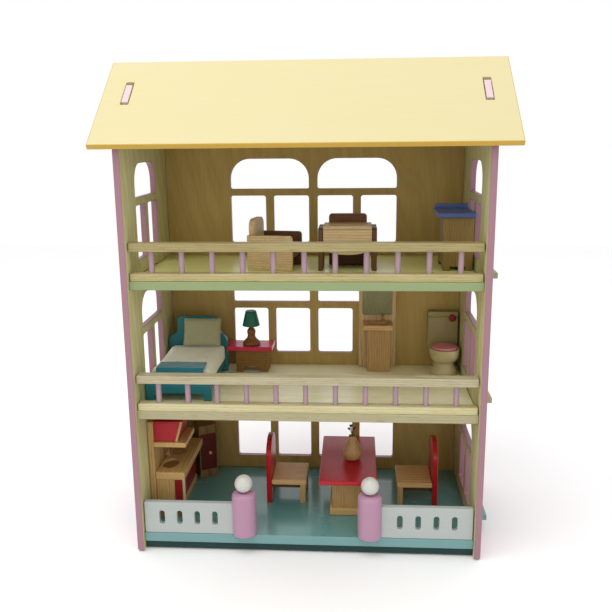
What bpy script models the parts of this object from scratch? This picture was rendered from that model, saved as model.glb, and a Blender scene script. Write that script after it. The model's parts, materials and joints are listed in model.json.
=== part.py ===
"""Three-storey open-front wooden dollhouse with its furniture.

Frame: +X to the right, +Y from the open front to the back, +Z up, metres.
The outline is written in millimetres measured from the front edge of the side
panels (y) and from the surface the house stands on (z); `mm` and SHIFT_Y turn
that into metres about the centre of the footprint.
"""
import math
import bpy
import bmesh
from mathutils import Vector

# ---------------------------------------------------------------- dimensions
WIDTH = 500.0            # over the outer faces of the side panels
DEPTH = 252.0            # front edge to back face of the side panels
PANEL = 9.0              # side and back panels
GAP = 0.3                # clearance between touching pieces
FLOOR_T = 12.0           # middle and top floor boards
BASE_T = 14.0            # ground floor board
GROUND_Z = 27.0          # top of the ground floor
MIDDLE_Z = 217.0         # top of the middle floor
TOP_Z = 405.0            # top of the top floor
FLOOR_SET_BACK = 8.0     # floor edge behind the side panels' front edge
TENON_OUT = 22.0         # floor tenons beyond the side panels
TENON_Y = (84.0, 168.0)  # one wide tenon at each end
TENON_Z = (8.8, 0.4)     # its faces, below the top of the board
ROOF_ANGLE = 39.6        # degrees
ROOF_T = 8.0
ROOF_HALF_W = 280.0
EAVE_Y = -12.5           # outer eave corner, in front of the side panels
EAVE_Z = 589.0
SLOT_Y = (56.5, 94.5)    # roof slots, measured level
TAB_Y = (59.5, 88.5)     # side panel tabs in those slots
RAIL_TOP = (41.0, 53.0)  # hand rail above its floor
RAIL_LOW = (0.3, 11.0)   # bottom rail above its floor
RAIL_Y = (8.0, 26.0)
BALUSTER_R = 3.9
BALUSTERS = 11
BALUSTER_PITCH = 42.0
FENCE_H = 48.5
FENCE_T = 9.0
POST_R = 17.5
POST_H = 66.5
POST_X = 91.5
BALL_R = 13.0
FLAT_ANGLE = 74.0        # latitude of the flat under each ball
SHIFT_Y = DEPTH / 2.0

SLOPE = math.tan(math.radians(ROOF_ANGLE))
COS_R = math.cos(math.radians(ROOF_ANGLE))
SIN_R = math.sin(math.radians(ROOF_ANGLE))
INNER = WIDTH / 2.0 - PANEL       # inner faces of the side panels
BACK_Y = DEPTH - PANEL            # inner face of the back panel


def mm(value):
    return value * 0.001


def wy(y):
    """Depth from the front edge, in metres about the footprint centre."""
    return mm(y - SHIFT_Y)


def roof_top_z(y):
    """Outer surface of the front roof slab at depth y."""
    return EAVE_Z + (y - EAVE_Y) * SLOPE


def roof_under_z(y):
    return roof_top_z(y) - ROOF_T / COS_R


# ---------------------------------------------------------------- scene set-up
for old in list(bpy.data.objects):
    bpy.data.objects.remove(old, do_unlink=True)

HOUSE = bpy.data.collections.new("dollhouse")
CUTTERS = bpy.data.collections.new("cutters")
bpy.context.scene.collection.children.link(HOUSE)
bpy.context.scene.collection.children.link(CUTTERS)
CUTTERS.hide_render = True

COLOURS = {
    "pine": (0.62, 0.49, 0.27), "ply": (0.50, 0.40, 0.22), "yellow": (0.93, 0.80, 0.38),
    "pink": (0.55, 0.26, 0.34), "lilac": (0.56, 0.32, 0.43), "green": (0.33, 0.46, 0.25),
    "teal": (0.22, 0.42, 0.40), "deep_teal": (0.02, 0.09, 0.09), "white": (0.72, 0.74, 0.70),
    "red": (0.42, 0.02, 0.04), "bed_teal": (0.03, 0.20, 0.22), "mint": (0.03, 0.16, 0.11),
    "mirror": (0.55, 0.60, 0.56), "cloth": (0.75, 0.72, 0.62), "rose": (0.55, 0.12, 0.20),
    "navy": (0.03, 0.08, 0.22), "walnut": (0.20, 0.11, 0.05),
}
MATERIALS = {}


def material(key, name, rough=0.5):
    """One Principled material per piece, in the piece's own paint or wood."""
    mat = bpy.data.materials.new(name + "_" + key)
    mat.use_nodes = True
    shader = mat.node_tree.nodes["Principled BSDF"]
    shader.inputs["Base Color"].default_value = COLOURS[key] + (1.0,)
    shader.inputs["Roughness"].default_value = rough
    mat.diffuse_color = COLOURS[key] + (1.0,)
    return mat


def add_object(name, mesh, collection, key=None):
    obj = bpy.data.objects.new(name, mesh)
    collection.objects.link(obj)
    if key:
        mesh.materials.append(material(key, name))
    return obj


def prism_mesh(name, outline, low, high, axis):
    """Solid with a flat outline, drawn between low and high along one axis.

    axis "x": outline is (y, z); axis "y": (x, z); axis "z": (x, y).
    """
    def corner(a, b, c):
        if axis == "x":
            return Vector((mm(c), wy(a), mm(b)))
        if axis == "y":
            return Vector((mm(a), wy(c), mm(b)))
        return Vector((mm(a), wy(b), mm(c)))

    bm = bmesh.new()
    first = [bm.verts.new(corner(a, b, low)) for a, b in outline]
    last = [bm.verts.new(corner(a, b, high)) for a, b in outline]
    bm.faces.new(first)
    bm.faces.new(list(reversed(last)))
    count = len(outline)
    for i in range(count):
        j = (i + 1) % count
        bm.faces.new((first[j], first[i], last[i], last[j]))
    bmesh.ops.recalc_face_normals(bm, faces=bm.faces)
    mesh = bpy.data.meshes.new(name)
    bm.to_mesh(mesh)
    bm.free()
    return mesh


def centre_origin(obj, point=None):
    """Move the origin to a point (metres), by default the middle of the piece."""
    verts = [v.co for v in obj.data.vertices]
    if point is None:
        low = Vector([min(v[i] for v in verts) for i in range(3)])
        high = Vector([max(v[i] for v in verts) for i in range(3)])
        point = (low + high) / 2.0
    for v in obj.data.vertices:
        v.co -= point
    obj.location = point
    return obj


def soften(obj, width, segments=1, angle=40.0):
    if width <= 0:
        return
    mod = obj.modifiers.new("rounded edges", "BEVEL")
    mod.width = mm(width)
    mod.segments = segments
    mod.limit_method = "ANGLE"
    mod.angle_limit = math.radians(angle)
    mod.use_clamp_overlap = True


def smooth(obj, angle=35.0):
    obj.data.shade_smooth()
    obj.data.set_sharp_from_angle(angle=math.radians(angle))


def plate(name, outline, low, high, axis, key, round_over=0.6, origin=None, segments=1):
    """A named piece cut from board: flat outline, even thickness."""
    obj = add_object(name, prism_mesh(name, outline, low, high, axis), HOUSE, key)
    centre_origin(obj, origin)
    soften(obj, round_over, segments)
    smooth(obj)
    return obj


def rect(a0, a1, b0, b1):
    return [(a0, b0), (a1, b0), (a1, b1), (a0, b1)]


def block(name, x, y, z, key, round_over=0.6, segments=1):
    return plate(name, rect(x[0], x[1], z[0], z[1]), y[0], y[1], "y", key,
                 round_over, segments=segments)


def arc(centre, radius, start, end, steps):
    """Points of an arc, angles in degrees, both ends included."""
    points = []
    for i in range(steps + 1):
        a = math.radians(start + (end - start) * i / steps)
        points.append((centre[0] + radius * math.cos(a), centre[1] + radius * math.sin(a)))
    return points


def rounded_rect(a0, a1, b0, b1, low_r, high_r, steps=3):
    """Rectangle with one corner radius below and another above."""
    points = []
    points += arc((a0 + low_r, b0 + low_r), low_r, 180, 270, steps)
    points += arc((a1 - low_r, b0 + low_r), low_r, 270, 360, steps)
    points += arc((a1 - high_r, b1 - high_r), high_r, 0, 90, steps + 2)
    points += arc((a0 + high_r, b1 - high_r), high_r, 90, 180, steps + 2)
    return points


def cutter(name, outline, low, high, axis):
    mesh = prism_mesh(name, outline, low, high, axis)
    obj = add_object(name, mesh, CUTTERS)
    obj.display_type = "WIRE"
    obj.hide_render = True
    return obj


def cut(target, tool, operation="DIFFERENCE", first=True):
    mod = target.modifiers.new(operation.lower() + " " + tool.name, "BOOLEAN")
    mod.operation = operation
    mod.solver = "EXACT"
    mod.object = tool
    if first:
        # shape first, then the edge rounding
        for i, other in enumerate(target.modifiers):
            if other.type == "BEVEL":
                target.modifiers.move(len(target.modifiers) - 1, i)
                break


def lathe(name, profile, centre, key, steps=24, collection=None, smooth_angle=35.0):
    """Turned piece: (radius, height) profile spun about a vertical axis.

    centre is (x, y, z) in millimetres; the origin sits on the axis.
    """
    bm = bmesh.new()
    rings = []
    for radius, height in profile:
        if radius <= 1e-6:
            rings.append([bm.verts.new((0.0, 0.0, mm(height)))])
        else:
            ring = []
            for i in range(steps):
                a = 2.0 * math.pi * i / steps
                ring.append(bm.verts.new((mm(radius) * math.cos(a), mm(radius) * math.sin(a),
                                          mm(height))))
            rings.append(ring)
    for low, high in zip(rings, rings[1:]):
        for i in range(steps):
            j = (i + 1) % steps
            if len(low) == 1:
                bm.faces.new((low[0], high[j], high[i]))
            elif len(high) == 1:
                bm.faces.new((low[i], low[j], high[0]))
            else:
                bm.faces.new((low[i], low[j], high[j], high[i]))
    bmesh.ops.recalc_face_normals(bm, faces=bm.faces)
    mesh = bpy.data.meshes.new(name)
    bm.to_mesh(mesh)
    bm.free()
    obj = add_object(name, mesh, collection or HOUSE, key)
    obj.location = (mm(centre[0]), wy(centre[1]), mm(centre[2]))
    smooth(obj, smooth_angle)
    return obj


def tool_lathe(name, profile, centre, steps=16):
    obj = lathe(name, profile, centre, None, steps, CUTTERS)
    obj.display_type = "WIRE"
    obj.hide_render = True
    return obj


def ball_profile(radius, rings=8, low=-90.0, high=90.0):
    points = []
    for i in range(rings + 1):
        a = math.radians(low + (high - low) * i / rings)
        r = radius * math.cos(a)
        points.append((0.0 if r < 1e-4 else r, radius * math.sin(a)))
    return points


# ---------------------------------------------------------------- windows
PANE_LOW, PANE_HIGH = 21.0, 98.0
LIGHT_LOW, LIGHT_HIGH = 109.0, 157.0


def window_outlines(near, far, floor_z, arch):
    """An arched top light over two upright panes, between near and far."""
    bar = 13.0
    middle = (near + far) / 2.0
    return [
        rounded_rect(near, far, floor_z + LIGHT_LOW, floor_z + LIGHT_HIGH, 3.0, arch),
        rounded_rect(near, middle - bar / 2.0, floor_z + PANE_LOW, floor_z + PANE_HIGH, 4.0, 4.0, 2),
        rounded_rect(middle + bar / 2.0, far, floor_z + PANE_LOW, floor_z + PANE_HIGH, 4.0, 4.0, 2),
    ]


FLOORS = (GROUND_Z, MIDDLE_Z, TOP_Z)
BACK_UNITS = ((-135.0, -7.0), (7.0, 135.0))
SIDE_UNIT = (64.0, 176.0)

# ---------------------------------------------------------------- side panels


def side_outline():
    """Gable-ended board with a tab on each roof slope, as (y, z)."""
    clear = 0.35
    foot = 6.0
    points = arc((foot, foot), foot, 180, 270, 3)
    points += arc((DEPTH - foot, foot), foot, 270, 360, 3)

    def slope(y, lift):
        # point on the front slope moved outwards along its normal
        return (y - SIN_R * lift, roof_under_z(y) - clear + COS_R * lift)

    rise = ROOF_T + 1.2
    front = [(0.0, roof_under_z(0.0) - clear), slope(TAB_Y[0], 0.0), slope(TAB_Y[0], rise),
             slope(TAB_Y[1], rise), slope(TAB_Y[1], 0.0),
             (SHIFT_Y, roof_under_z(SHIFT_Y) - clear)]
    back = [(DEPTH - a, b) for a, b in front[:-1]]
    return points + back + list(reversed(front))


for side, sign in (("left", -1.0), ("right", 1.0)):
    outer, inner = sorted((sign * WIDTH / 2.0, sign * INNER))
    panel = plate("side_panel_" + side, side_outline(), outer, inner, "x", "pink", 0.0)
    for level, floor_z in enumerate(FLOORS):
        for part_no, shape in enumerate(window_outlines(*SIDE_UNIT, floor_z, 28.0)):
            cut(panel, cutter("side_window_%s_%d_%d" % (side, level, part_no), shape,
                              outer - 5.0, inner + 5.0, "x"))
        cut(panel, cutter("mortise_%s_%d" % (side, level),
                          rect(TENON_Y[0] - GAP, TENON_Y[1] + GAP,
                               floor_z - TENON_Z[0] - GAP, floor_z - TENON_Z[1] + GAP),
                          outer - 5.0, inner + 5.0, "x"))

# ---------------------------------------------------------------- back panel
back = plate("back_panel", rect(-INNER + GAP, INNER - GAP, 0.5, roof_under_z(0.0) - 0.8),
             BACK_Y, DEPTH, "y", "ply", 0.0)
for level, floor_z in enumerate(FLOORS):
    for unit, (x0, x1) in enumerate(BACK_UNITS):
        for part_no, shape in enumerate(window_outlines(x0, x1, floor_z, 32.0)):
            cut(back, cutter("back_window_%d_%d_%d" % (level, unit, part_no), shape,
                             BACK_Y - 5.0, DEPTH + 5.0, "y"))

# ---------------------------------------------------------------- floor boards


for name, floor_z, thick, key in (("floor_ground", GROUND_Z, BASE_T, "teal"),
                                  ("floor_middle", MIDDLE_Z, FLOOR_T, "pine"),
                                  ("floor_top", TOP_Z, FLOOR_T, "green")):
    board = block(name, (-INNER + GAP, INNER - GAP), (FLOOR_SET_BACK, BACK_Y - GAP),
                  (floor_z - thick, floor_z), key, 0.0)
    cut(board, cutter(name + "_tenon",
                      rect(-WIDTH / 2.0 - TENON_OUT, WIDTH / 2.0 + TENON_OUT,
                           floor_z - TENON_Z[0], floor_z - TENON_Z[1]),
                      TENON_Y[0], TENON_Y[1], "y"), "UNION")

block("plinth", (-INNER + GAP, INNER - GAP), (12.0, 21.0), (1.5, GROUND_Z - BASE_T - GAP),
      "deep_teal")

# ---------------------------------------------------------------- railings
LEVELS = (("middle", MIDDLE_Z), ("top", TOP_Z))
RAIL_END = INNER - 1.7
RAIL_MID_Y = (RAIL_Y[0] + RAIL_Y[1]) / 2.0
for level, floor_z in LEVELS:
    hand = block("hand_rail_" + level, (-RAIL_END, RAIL_END), RAIL_Y,
                 (floor_z + RAIL_TOP[0], floor_z + RAIL_TOP[1]), "pine", 0.0)
    low = block("balustrade_" + level, (-RAIL_END, RAIL_END), (RAIL_Y[0] + 1.0, RAIL_Y[1] - 1.0),
                (floor_z + RAIL_LOW[0], floor_z + RAIL_LOW[1]), "lilac", 0.0)
    for i in range(BALUSTERS):
        x = (i - (BALUSTERS - 1) / 2.0) * BALUSTER_PITCH
        peg = floor_z + RAIL_TOP[0] + 4.0
        rod = tool_lathe("baluster_%s_%d" % (level, i),
                         [(0.0, 0.0), (BALUSTER_R, 0.0), (BALUSTER_R, peg - floor_z - 5.0),
                          (0.0, peg - floor_z - 5.0)],
                         (x, RAIL_MID_Y, floor_z + 5.0), 8)
        cut(low, rod, "UNION")
        hole = tool_lathe("baluster_hole_%s_%d" % (level, i),
                          [(0.0, 0.0), (BALUSTER_R + 0.25, 0.0), (BALUSTER_R + 0.25, 12.0),
                           (0.0, 12.0)],
                          (x, RAIL_MID_Y, floor_z + RAIL_TOP[0] - 7.5), 8)
        cut(hand, hole)

# ---------------------------------------------------------------- fence and gateposts
FENCE_X = (POST_X + POST_R - 6.0, INNER - 1.7)
SLOTS_X = (134.8, 161.1, 187.2, 213.3)
FENCE_Y = (8.5, 8.5 + FENCE_T)
POST_Y = 12.0
for side, sign in (("left", -1.0), ("right", 1.0)):
    x0, x1 = sorted((sign * FENCE_X[0], sign * FENCE_X[1]))
    low_z = GROUND_Z + GAP
    fence = block("fence_" + side, (x0, x1), FENCE_Y, (low_z, low_z + FENCE_H), "white", 0.0)
    for i, x in enumerate(SLOTS_X):
        cut(fence, cutter("fence_slot_%s_%d" % (side, i),
                          rounded_rect(sign * x - 4.0, sign * x + 4.0, GROUND_Z + 14.0,
                                       GROUND_Z + 35.5, 3.5, 3.5, 3),
                          FENCE_Y[0] - 4.0, FENCE_Y[1] + 4.0, "y"))
    r, h = POST_R, POST_H
    post = lathe("gatepost_" + side,
                 [(0.0, 0.0), (r - 2.5, 0.0), (r, 2.5), (r, h - 6.0), (r - 1.6, h - 2.2),
                  (r - 5.5, h), (0.0, h)],
                 (sign * POST_X, POST_Y, low_z), "lilac", 28)
    # the fence end sits in a slit down the side of the post
    sx0, sx1 = sorted((sign * (FENCE_X[0] - GAP), sign * (POST_X + POST_R + 5.0)))
    cut(post, cutter("post_slit_" + side, rect(sx0, sx1, low_z - 5.0, low_z + FENCE_H + GAP),
                     FENCE_Y[0] - GAP, FENCE_Y[1] + GAP, "y"))
    # a ball with a small flat underneath where it stands on the post
    flat = BALL_R * math.sin(math.radians(FLAT_ANGLE))
    lathe("gate_ball_" + side, [(0.0, -flat)] + ball_profile(BALL_R, 10, -FLAT_ANGLE, 90.0),
          (sign * POST_X, POST_Y, low_z + h + flat + GAP), "white", 24)

# ---------------------------------------------------------------- roof slabs
RIDGE_GAP = 0.2


def roof_outline(sign):
    """Cross-section of a slab, (y, z); sign +1 for the front one."""
    ridge = SHIFT_Y - RIDGE_GAP
    points = [(EAVE_Y, EAVE_Z), (EAVE_Y + ROOF_T * SIN_R, EAVE_Z - ROOF_T * COS_R),
              (ridge, roof_under_z(ridge)), (ridge, roof_top_z(ridge))]
    if sign < 0:
        points = [(DEPTH - a, b) for a, b in points]
    return points


SLOT_HALF = PANEL / 2.0 + 1.1
for name, sign in (("roof_front", 1.0), ("roof_rear", -1.0)):
    slab = plate(name, roof_outline(sign), -ROOF_HALF_W, ROOF_HALF_W, "x", "yellow", 0.8)
    for side in (-1.0, 1.0):
        x = side * (WIDTH / 2.0 - PANEL / 2.0)

        def on_slope(y, lift):
            a, b = y - SIN_R * lift, roof_under_z(y) + COS_R * lift
            return (a, b) if sign > 0 else (DEPTH - a, b)

        tool = [on_slope(SLOT_Y[0], -4.0), on_slope(SLOT_Y[1], -4.0),
                on_slope(SLOT_Y[1], ROOF_T + 4.0), on_slope(SLOT_Y[0], ROOF_T + 4.0)]
        cut(slab, cutter("roof_slot_%s_%d" % (name, side), tool, x - SLOT_HALF, x + SLOT_HALF, "x"))

# ================================================================ furniture
G, M, T = GROUND_Z + GAP, MIDDLE_Z + GAP, TOP_Z + GAP

# ---------------------------------------------------------------- kitchen unit
UNIT_Y = (50.0, 186.0)
back = block("kitchen_back", (-240.4, -231.5), UNIT_Y, (G, 184.0), "pine", 0.0)
cut(back, cutter("kitchen_shelf", rect(-235.0, -183.0, 144.0, 152.0), UNIT_Y[0], 112.0, "y"),
    "UNION")
cabinet = block("kitchen_cabinet", (-231.2, -203.3), (52.0, 184.0), (G, G + 63.7), "pine", 0.0)
cut(cabinet, cutter("kitchen_low_rail", rect(-210.0, -199.0, G, G + 12.7), 56.5, 184.0, "y"),
    "UNION")
# the red fronts turn the near corner as a narrow end strip
front = plate("kitchen_front", [(-203.0, 51.5), (-191.8, 51.5), (-191.8, 55.5), (-199.0, 55.5),
                                (-199.0, 184.0), (-203.0, 184.0)], G + 13.0, G + 63.0, "z",
              "red", 0.0)
cut(front, cutter("kitchen_front_groove", rect(-200.2, -190.0, G, G + 70.0), 119.2, 120.8, "y"))
top = block("kitchen_worktop", (-231.2, -187.0), (50.5, UNIT_Y[1]), (G + 64.0, G + 76.0), "pine",
            0.0)
cut(top, cutter("worktop_post", rect(-191.5, -187.0, G, G + 66.0), 51.5, 55.5, "y"), "UNION")
SINK = [(-216.0 + 12.5 * math.cos(math.radians(i * 22.5)),
         85.0 + 18.0 * math.sin(math.radians(i * 22.5))) for i in range(16)]
cut(top, cutter("sink_bowl", SINK, G + 71.0, G + 90.0, "z"))
cut(top, tool_lathe("hob_ring", [(0.0, 0.0), (11.0, 0.0), (11.0, 8.0), (0.0, 8.0)],
                    (-212.6, 129.0, G + 74.8), 20))
cut(top, cutter("worktop_joint", rect(-212.0, -180.0, G + 75.0, G + 80.0), 109.6, 110.4, "y"))
tap = tool_lathe("tap_post", [(0.0, 0.0), (2.2, 0.0), (2.2, 15.0), (0.0, 15.0)],
                 (-226.0, 111.0, G + 73.0), 10)
cut(top, tap, "UNION")
cut(top, cutter("tap_spout", rect(-227.6, -224.4, G + 83.5, G + 87.0), 96.0, 111.5, "y"), "UNION")
plate("kitchen_hood", [(-231.2, 152.3), (-196.0, 152.3), (-187.0, 184.0), (-231.2, 184.0)],
      52.0, 110.0, "y", "red", 0.8)

# ---------------------------------------------------------------- cupboard
# it stands turned in the corner; u runs along its front and v into its depth
CUP_CORNER, CUP_TURN = (-193.2, 188.5), math.radians(30.0)
CUP_W, CUP_D, CUP_H = 32.0, 30.0, 94.0
DOOR_U, DOOR_Z, DOOR_T = (2.5, 29.5), (14.0, 78.0), 5.0


def cup_xy(u, v):
    c, s = math.cos(CUP_TURN), math.sin(CUP_TURN)
    return (CUP_CORNER[0] + c * u - s * v, CUP_CORNER[1] + s * u + c * v)


def cup_plan(u0, u1, v0, v1):
    return [cup_xy(u0, v0), cup_xy(u1, v0), cup_xy(u1, v1), cup_xy(u0, v1)]


cup = plate("cupboard_body", cup_plan(0.0, CUP_W, 0.0, CUP_D), G, G + CUP_H, "z", "pine", 0.0)
# the recess is wider on the free side, so the door's back corner clears it
cut(cup, cutter("cupboard_recess", cup_plan(DOOR_U[0] - GAP, DOOR_U[1] + 0.7, -8.0,
                                            DOOR_T + GAP),
                G + DOOR_Z[0] - GAP, G + DOOR_Z[1] + GAP, "z"))
cut(cup, cutter("cupboard_inside", cup_plan(5.0, 27.0, -8.0, CUP_D - 4.0),
                G + DOOR_Z[0] + 3.0, G + DOOR_Z[1] - 3.0, "z"))
hx, hy = cup_xy(DOOR_U[0], 0.0)
door = plate("cupboard_door", cup_plan(DOOR_U[0], DOOR_U[1], 0.0, DOOR_T), G + DOOR_Z[0],
             G + DOOR_Z[1], "z", "red", 0.0, origin=Vector((mm(hx), wy(hy), mm(G + 46.0))))
knob = tool_lathe("cupboard_knob", [(0.0, 0.0), (2.6, 0.0), (3.0, 3.0), (2.0, 5.5), (0.0, 6.0)],
                  (0.0, 0.0, 0.0), 12)
kx, ky = cup_xy(18.0, 1.0)
knob.location = (mm(kx), wy(ky), mm(G + 45.0))
knob.rotation_euler = (math.radians(90.0), 0.0, CUP_TURN)
cut(door, knob, "UNION")

# ---------------------------------------------------------------- table and vase
TABLE_X, TABLE_Y, TABLE_H = (15.5, 103.5), (56.0, 232.0), 64.0
block("table_top", TABLE_X, TABLE_Y, (G + TABLE_H - 7.0, G + TABLE_H), "red", 1.5, 2)
base = block("table_base", (35.0, 84.0), (80.0, 208.0), (G + 8.0, G + TABLE_H - 7.0 - GAP),
             "pine", 0.0)
cut(base, cutter("table_foot", rect(31.5, 87.5, G, G + 11.0), 72.0, 216.0, "y"), "UNION")

VASE = (65.5, 138.0, G + TABLE_H + GAP)
VASE_SHAPE = [(0.0, 0.0), (9.0, 0.0), (13.0, 3.0), (15.4, 9.5), (15.0, 15.0), (11.5, 24.0),
              (7.4, 33.0), (5.6, 38.5), (5.9, 40.0), (1.3, 40.4), (0.9, 52.0), (0.7, 59.0),
              (0.0, 59.4)]
lathe("vase", VASE_SHAPE, VASE, "pine", 24)


# ---------------------------------------------------------------- chairs
def chair(name, x_back, facing, y0, y1, seat_top, height):
    """Seat with a front leg board, and an arched back board down to the floor.

    facing +1 looks towards +X, -1 towards -X; x_back is the rear face.
    """
    thick = 8.0
    b0, b1 = sorted((x_back, x_back + facing * thick))
    ym = (y0 + y1) / 2.0
    outline = [(y0, G), (y0 + 14.0, G), (y0 + 14.0, G + 12.0)]
    outline += [(y1 - 14.0, G + 12.0), (y1 - 14.0, G), (y1, G)]
    r = (y1 - y0) / 2.0
    outline += [(ym + r * math.cos(math.radians(a)),
                 G + height - 26.0 + 26.0 * math.sin(math.radians(a))) for a in
                (0, 15, 30, 45, 60, 75, 90, 105, 120, 135, 150, 165, 180)]
    plate(name + "_back", outline, b0, b1, "x", "red", 0.8)
    s0, s1 = sorted((x_back + facing * (thick + GAP), x_back + facing * 63.0))
    seat = block(name + "_seat", (s0, s1), (y0 + 0.5, y1 - 0.5),
                 (G + seat_top - 8.0, G + seat_top), "pine", 0.0)
    l0, l1 = sorted((x_back + facing * 53.0, x_back + facing * 62.0))
    legs = [(y0 + 2.0, G), (y0 + 14.0, G), (y0 + 14.0, G + 20.0), (y1 - 14.0, G + 20.0),
            (y1 - 14.0, G), (y1 - 2.0, G), (y1 - 2.0, G + seat_top - 4.0),
            (y0 + 2.0, G + seat_top - 4.0)]
    cut(seat, cutter(name + "_legs", legs, l0, l1, "x"), "UNION")
    r0, r1 = sorted((x_back + facing * (thick + GAP), x_back + facing * 56.0))
    rail = rect(r0, r1, G + 20.0, G + seat_top - 4.0)
    cut(seat, cutter(name + "_rail", rail, ym - 20.0, ym + 20.0, "y"), "UNION")


chair("chair_left", -70.0, 1.0, 108.0, 176.0, 39.0, 103.0)
chair("chair_right", 198.5, -1.0, 106.0, 174.0, 39.0, 103.0)

# ---------------------------------------------------------------- bed
BED_X, BED_Y = (-239.5, -141.5), (52.0, 208.0)
BED_MID, HEAD_HALF = -188.5, 35.0


def bed_end(top, clear, rx, ry):
    """End board with two legs, as (x, z); rx and ry shape its upper corners."""
    x0, x1 = BED_X
    shape = [(x0, M), (x0 + 12.0, M), (x0 + 12.0, M + clear), (x1 - 12.0, M + clear),
             (x1 - 12.0, M), (x1, M)]
    for cx, start in ((x1 - rx, 0), (x0 + rx, 90)):
        shape += [(cx + rx * math.cos(math.radians(start + a)),
                   M + top - ry + ry * math.sin(math.radians(start + a)))
                  for a in (0, 18, 36, 54, 72, 90)]
    return shape


bed = plate("bed_frame", bed_end(41.0, 11.0, 10.0, 10.0), BED_Y[0], BED_Y[0] + 9.0, "y",
            "bed_teal", 0.0)
# the head board narrows above its shoulders
cut(bed, cutter("bed_head", bed_end(64.0, 11.0, 14.0, 14.0), BED_Y[1] - 9.0, BED_Y[1], "y"),
    "UNION")
crown = [(BED_MID - HEAD_HALF - 4.0, M + 50.0), (BED_MID + HEAD_HALF + 4.0, M + 50.0),
         (BED_MID + HEAD_HALF + 4.0, M + 64.0), (BED_MID + HEAD_HALF, M + 68.0)]
crown += arc((BED_MID + HEAD_HALF - 8.0, M + 85.0), 8.0, 0, 90, 4)
crown += arc((BED_MID - HEAD_HALF + 8.0, M + 85.0), 8.0, 90, 180, 4)
crown += [(BED_MID - HEAD_HALF, M + 68.0), (BED_MID - HEAD_HALF - 4.0, M + 64.0)]
cut(bed, cutter("bed_crown", crown, BED_Y[1] - 9.0, BED_Y[1], "y"), "UNION")
cut(bed, cutter("bed_deck", rect(BED_X[0] + 4.0, BED_X[1] - 4.0, M + 13.0, M + 18.0),
                BED_Y[0] + 4.0, BED_Y[1] - 4.0, "y"), "UNION")
block("mattress", (-234.0, -143.0), (BED_Y[0] + 9.5, BED_Y[1] - 9.5), (M + 18.4, M + 47.5),
      "cloth", 4.0, 2)
# the blanket lies across the foot end and hangs down in front of the foot board
plate("blanket", [(49.2, M + 30.0), (51.7, M + 30.0), (51.7, M + 48.0), (83.0, M + 48.0),
                  (83.0, M + 53.0), (51.0, M + 53.0), (49.2, M + 51.0)], -222.0, -152.0, "x",
      "bed_teal", 0.8)
pillow = add_object("pillow", prism_mesh("pillow", rounded_rect(-31.0, 31.0, 0.0, 46.0, 8.0, 8.0, 3),
                                         -6.0, 6.0, "y"), HOUSE, "cloth")
centre_origin(pillow)
soften(pillow, 3.5, 2)
smooth(pillow, 50.0)
pillow.location = (mm(-179.0), wy(183.6), mm(M + 70.5))
pillow.rotation_euler = (math.radians(-20.0), 0.0, 0.0)

# ---------------------------------------------------------------- nightstand and lamp
block("nightstand_top", (-140.5, -66.0), (188.0, 232.0), (M + 37.5, M + 44.5), "red", 1.2, 2)
stand = [(-127.0, M), (-116.0, M)] + [(-100.5 + 15.5 * math.cos(math.radians(a)),
                                        M + 10.0 * math.sin(math.radians(a))) for a in
                                       (180, 150, 120, 90, 60, 30, 0)][1:-1] + \
        [(-85.0, M), (-74.0, M), (-74.0, M + 37.5 - GAP), (-127.0, M + 37.5 - GAP)]
plate("nightstand_body", stand, 195.0, 228.0, "y", "pine", 0.0)
LAMP, LAMP_H = (-102.0, 207.0), 31.2
lathe("lamp_base", [(0.0, 0.0), (14.3, 0.0), (14.6, 2.6), (12.6, 6.0), (8.0, 10.0), (6.2, 15.0),
                    (7.0, 20.0), (6.4, 25.0), (4.0, 27.0), (4.0, LAMP_H), (0.0, LAMP_H)],
      (LAMP[0], LAMP[1], M + 44.5 + GAP), "walnut", 24)
lathe("lamp_shade", [(0.0, 0.0), (14.2, 0.0), (14.2, 1.2), (8.8, 24.0), (7.6, 25.2), (0.0, 25.2)],
      (LAMP[0], LAMP[1], M + 44.5 + GAP * 2 + LAMP_H), "mint", 24)

# ---------------------------------------------------------------- washstand
block("washstand_backboard", (75.0, 136.0), (231.0, 240.0), (M, M + 150.0), "pine", 0.0)
block("washstand_pedestal", (88.0, 127.0), (204.0, 230.7), (M, M + 72.0 - GAP), "pine", 1.0)
block("washstand_mirror", (81.0, 130.0), (229.2, 230.7), (M + 90.0, M + 144.0), "mirror", 0.0)
basin = block("washstand_basin", (82.0, 130.0), (194.0, 230.7), (M + 72.0, M + 80.5), "pine", 0.0)
cut(basin, cutter("basin_bowl", rounded_rect(89.0, 123.0, 199.0, 219.0, 8.0, 8.0, 3),
                  M + 75.0, M + 90.0, "z"))
cut(basin, tool_lathe("basin_tap", [(0.0, 0.0), (2.4, 0.0), (2.4, 13.0), (0.0, 13.0)],
                      (115.0, 225.5, M + 78.0), 10), "UNION")
cut(basin, cutter("basin_spout", rect(113.3, 116.7, M + 87.0, M + 90.5), 212.0, 226.0, "y"), "UNION")

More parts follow.
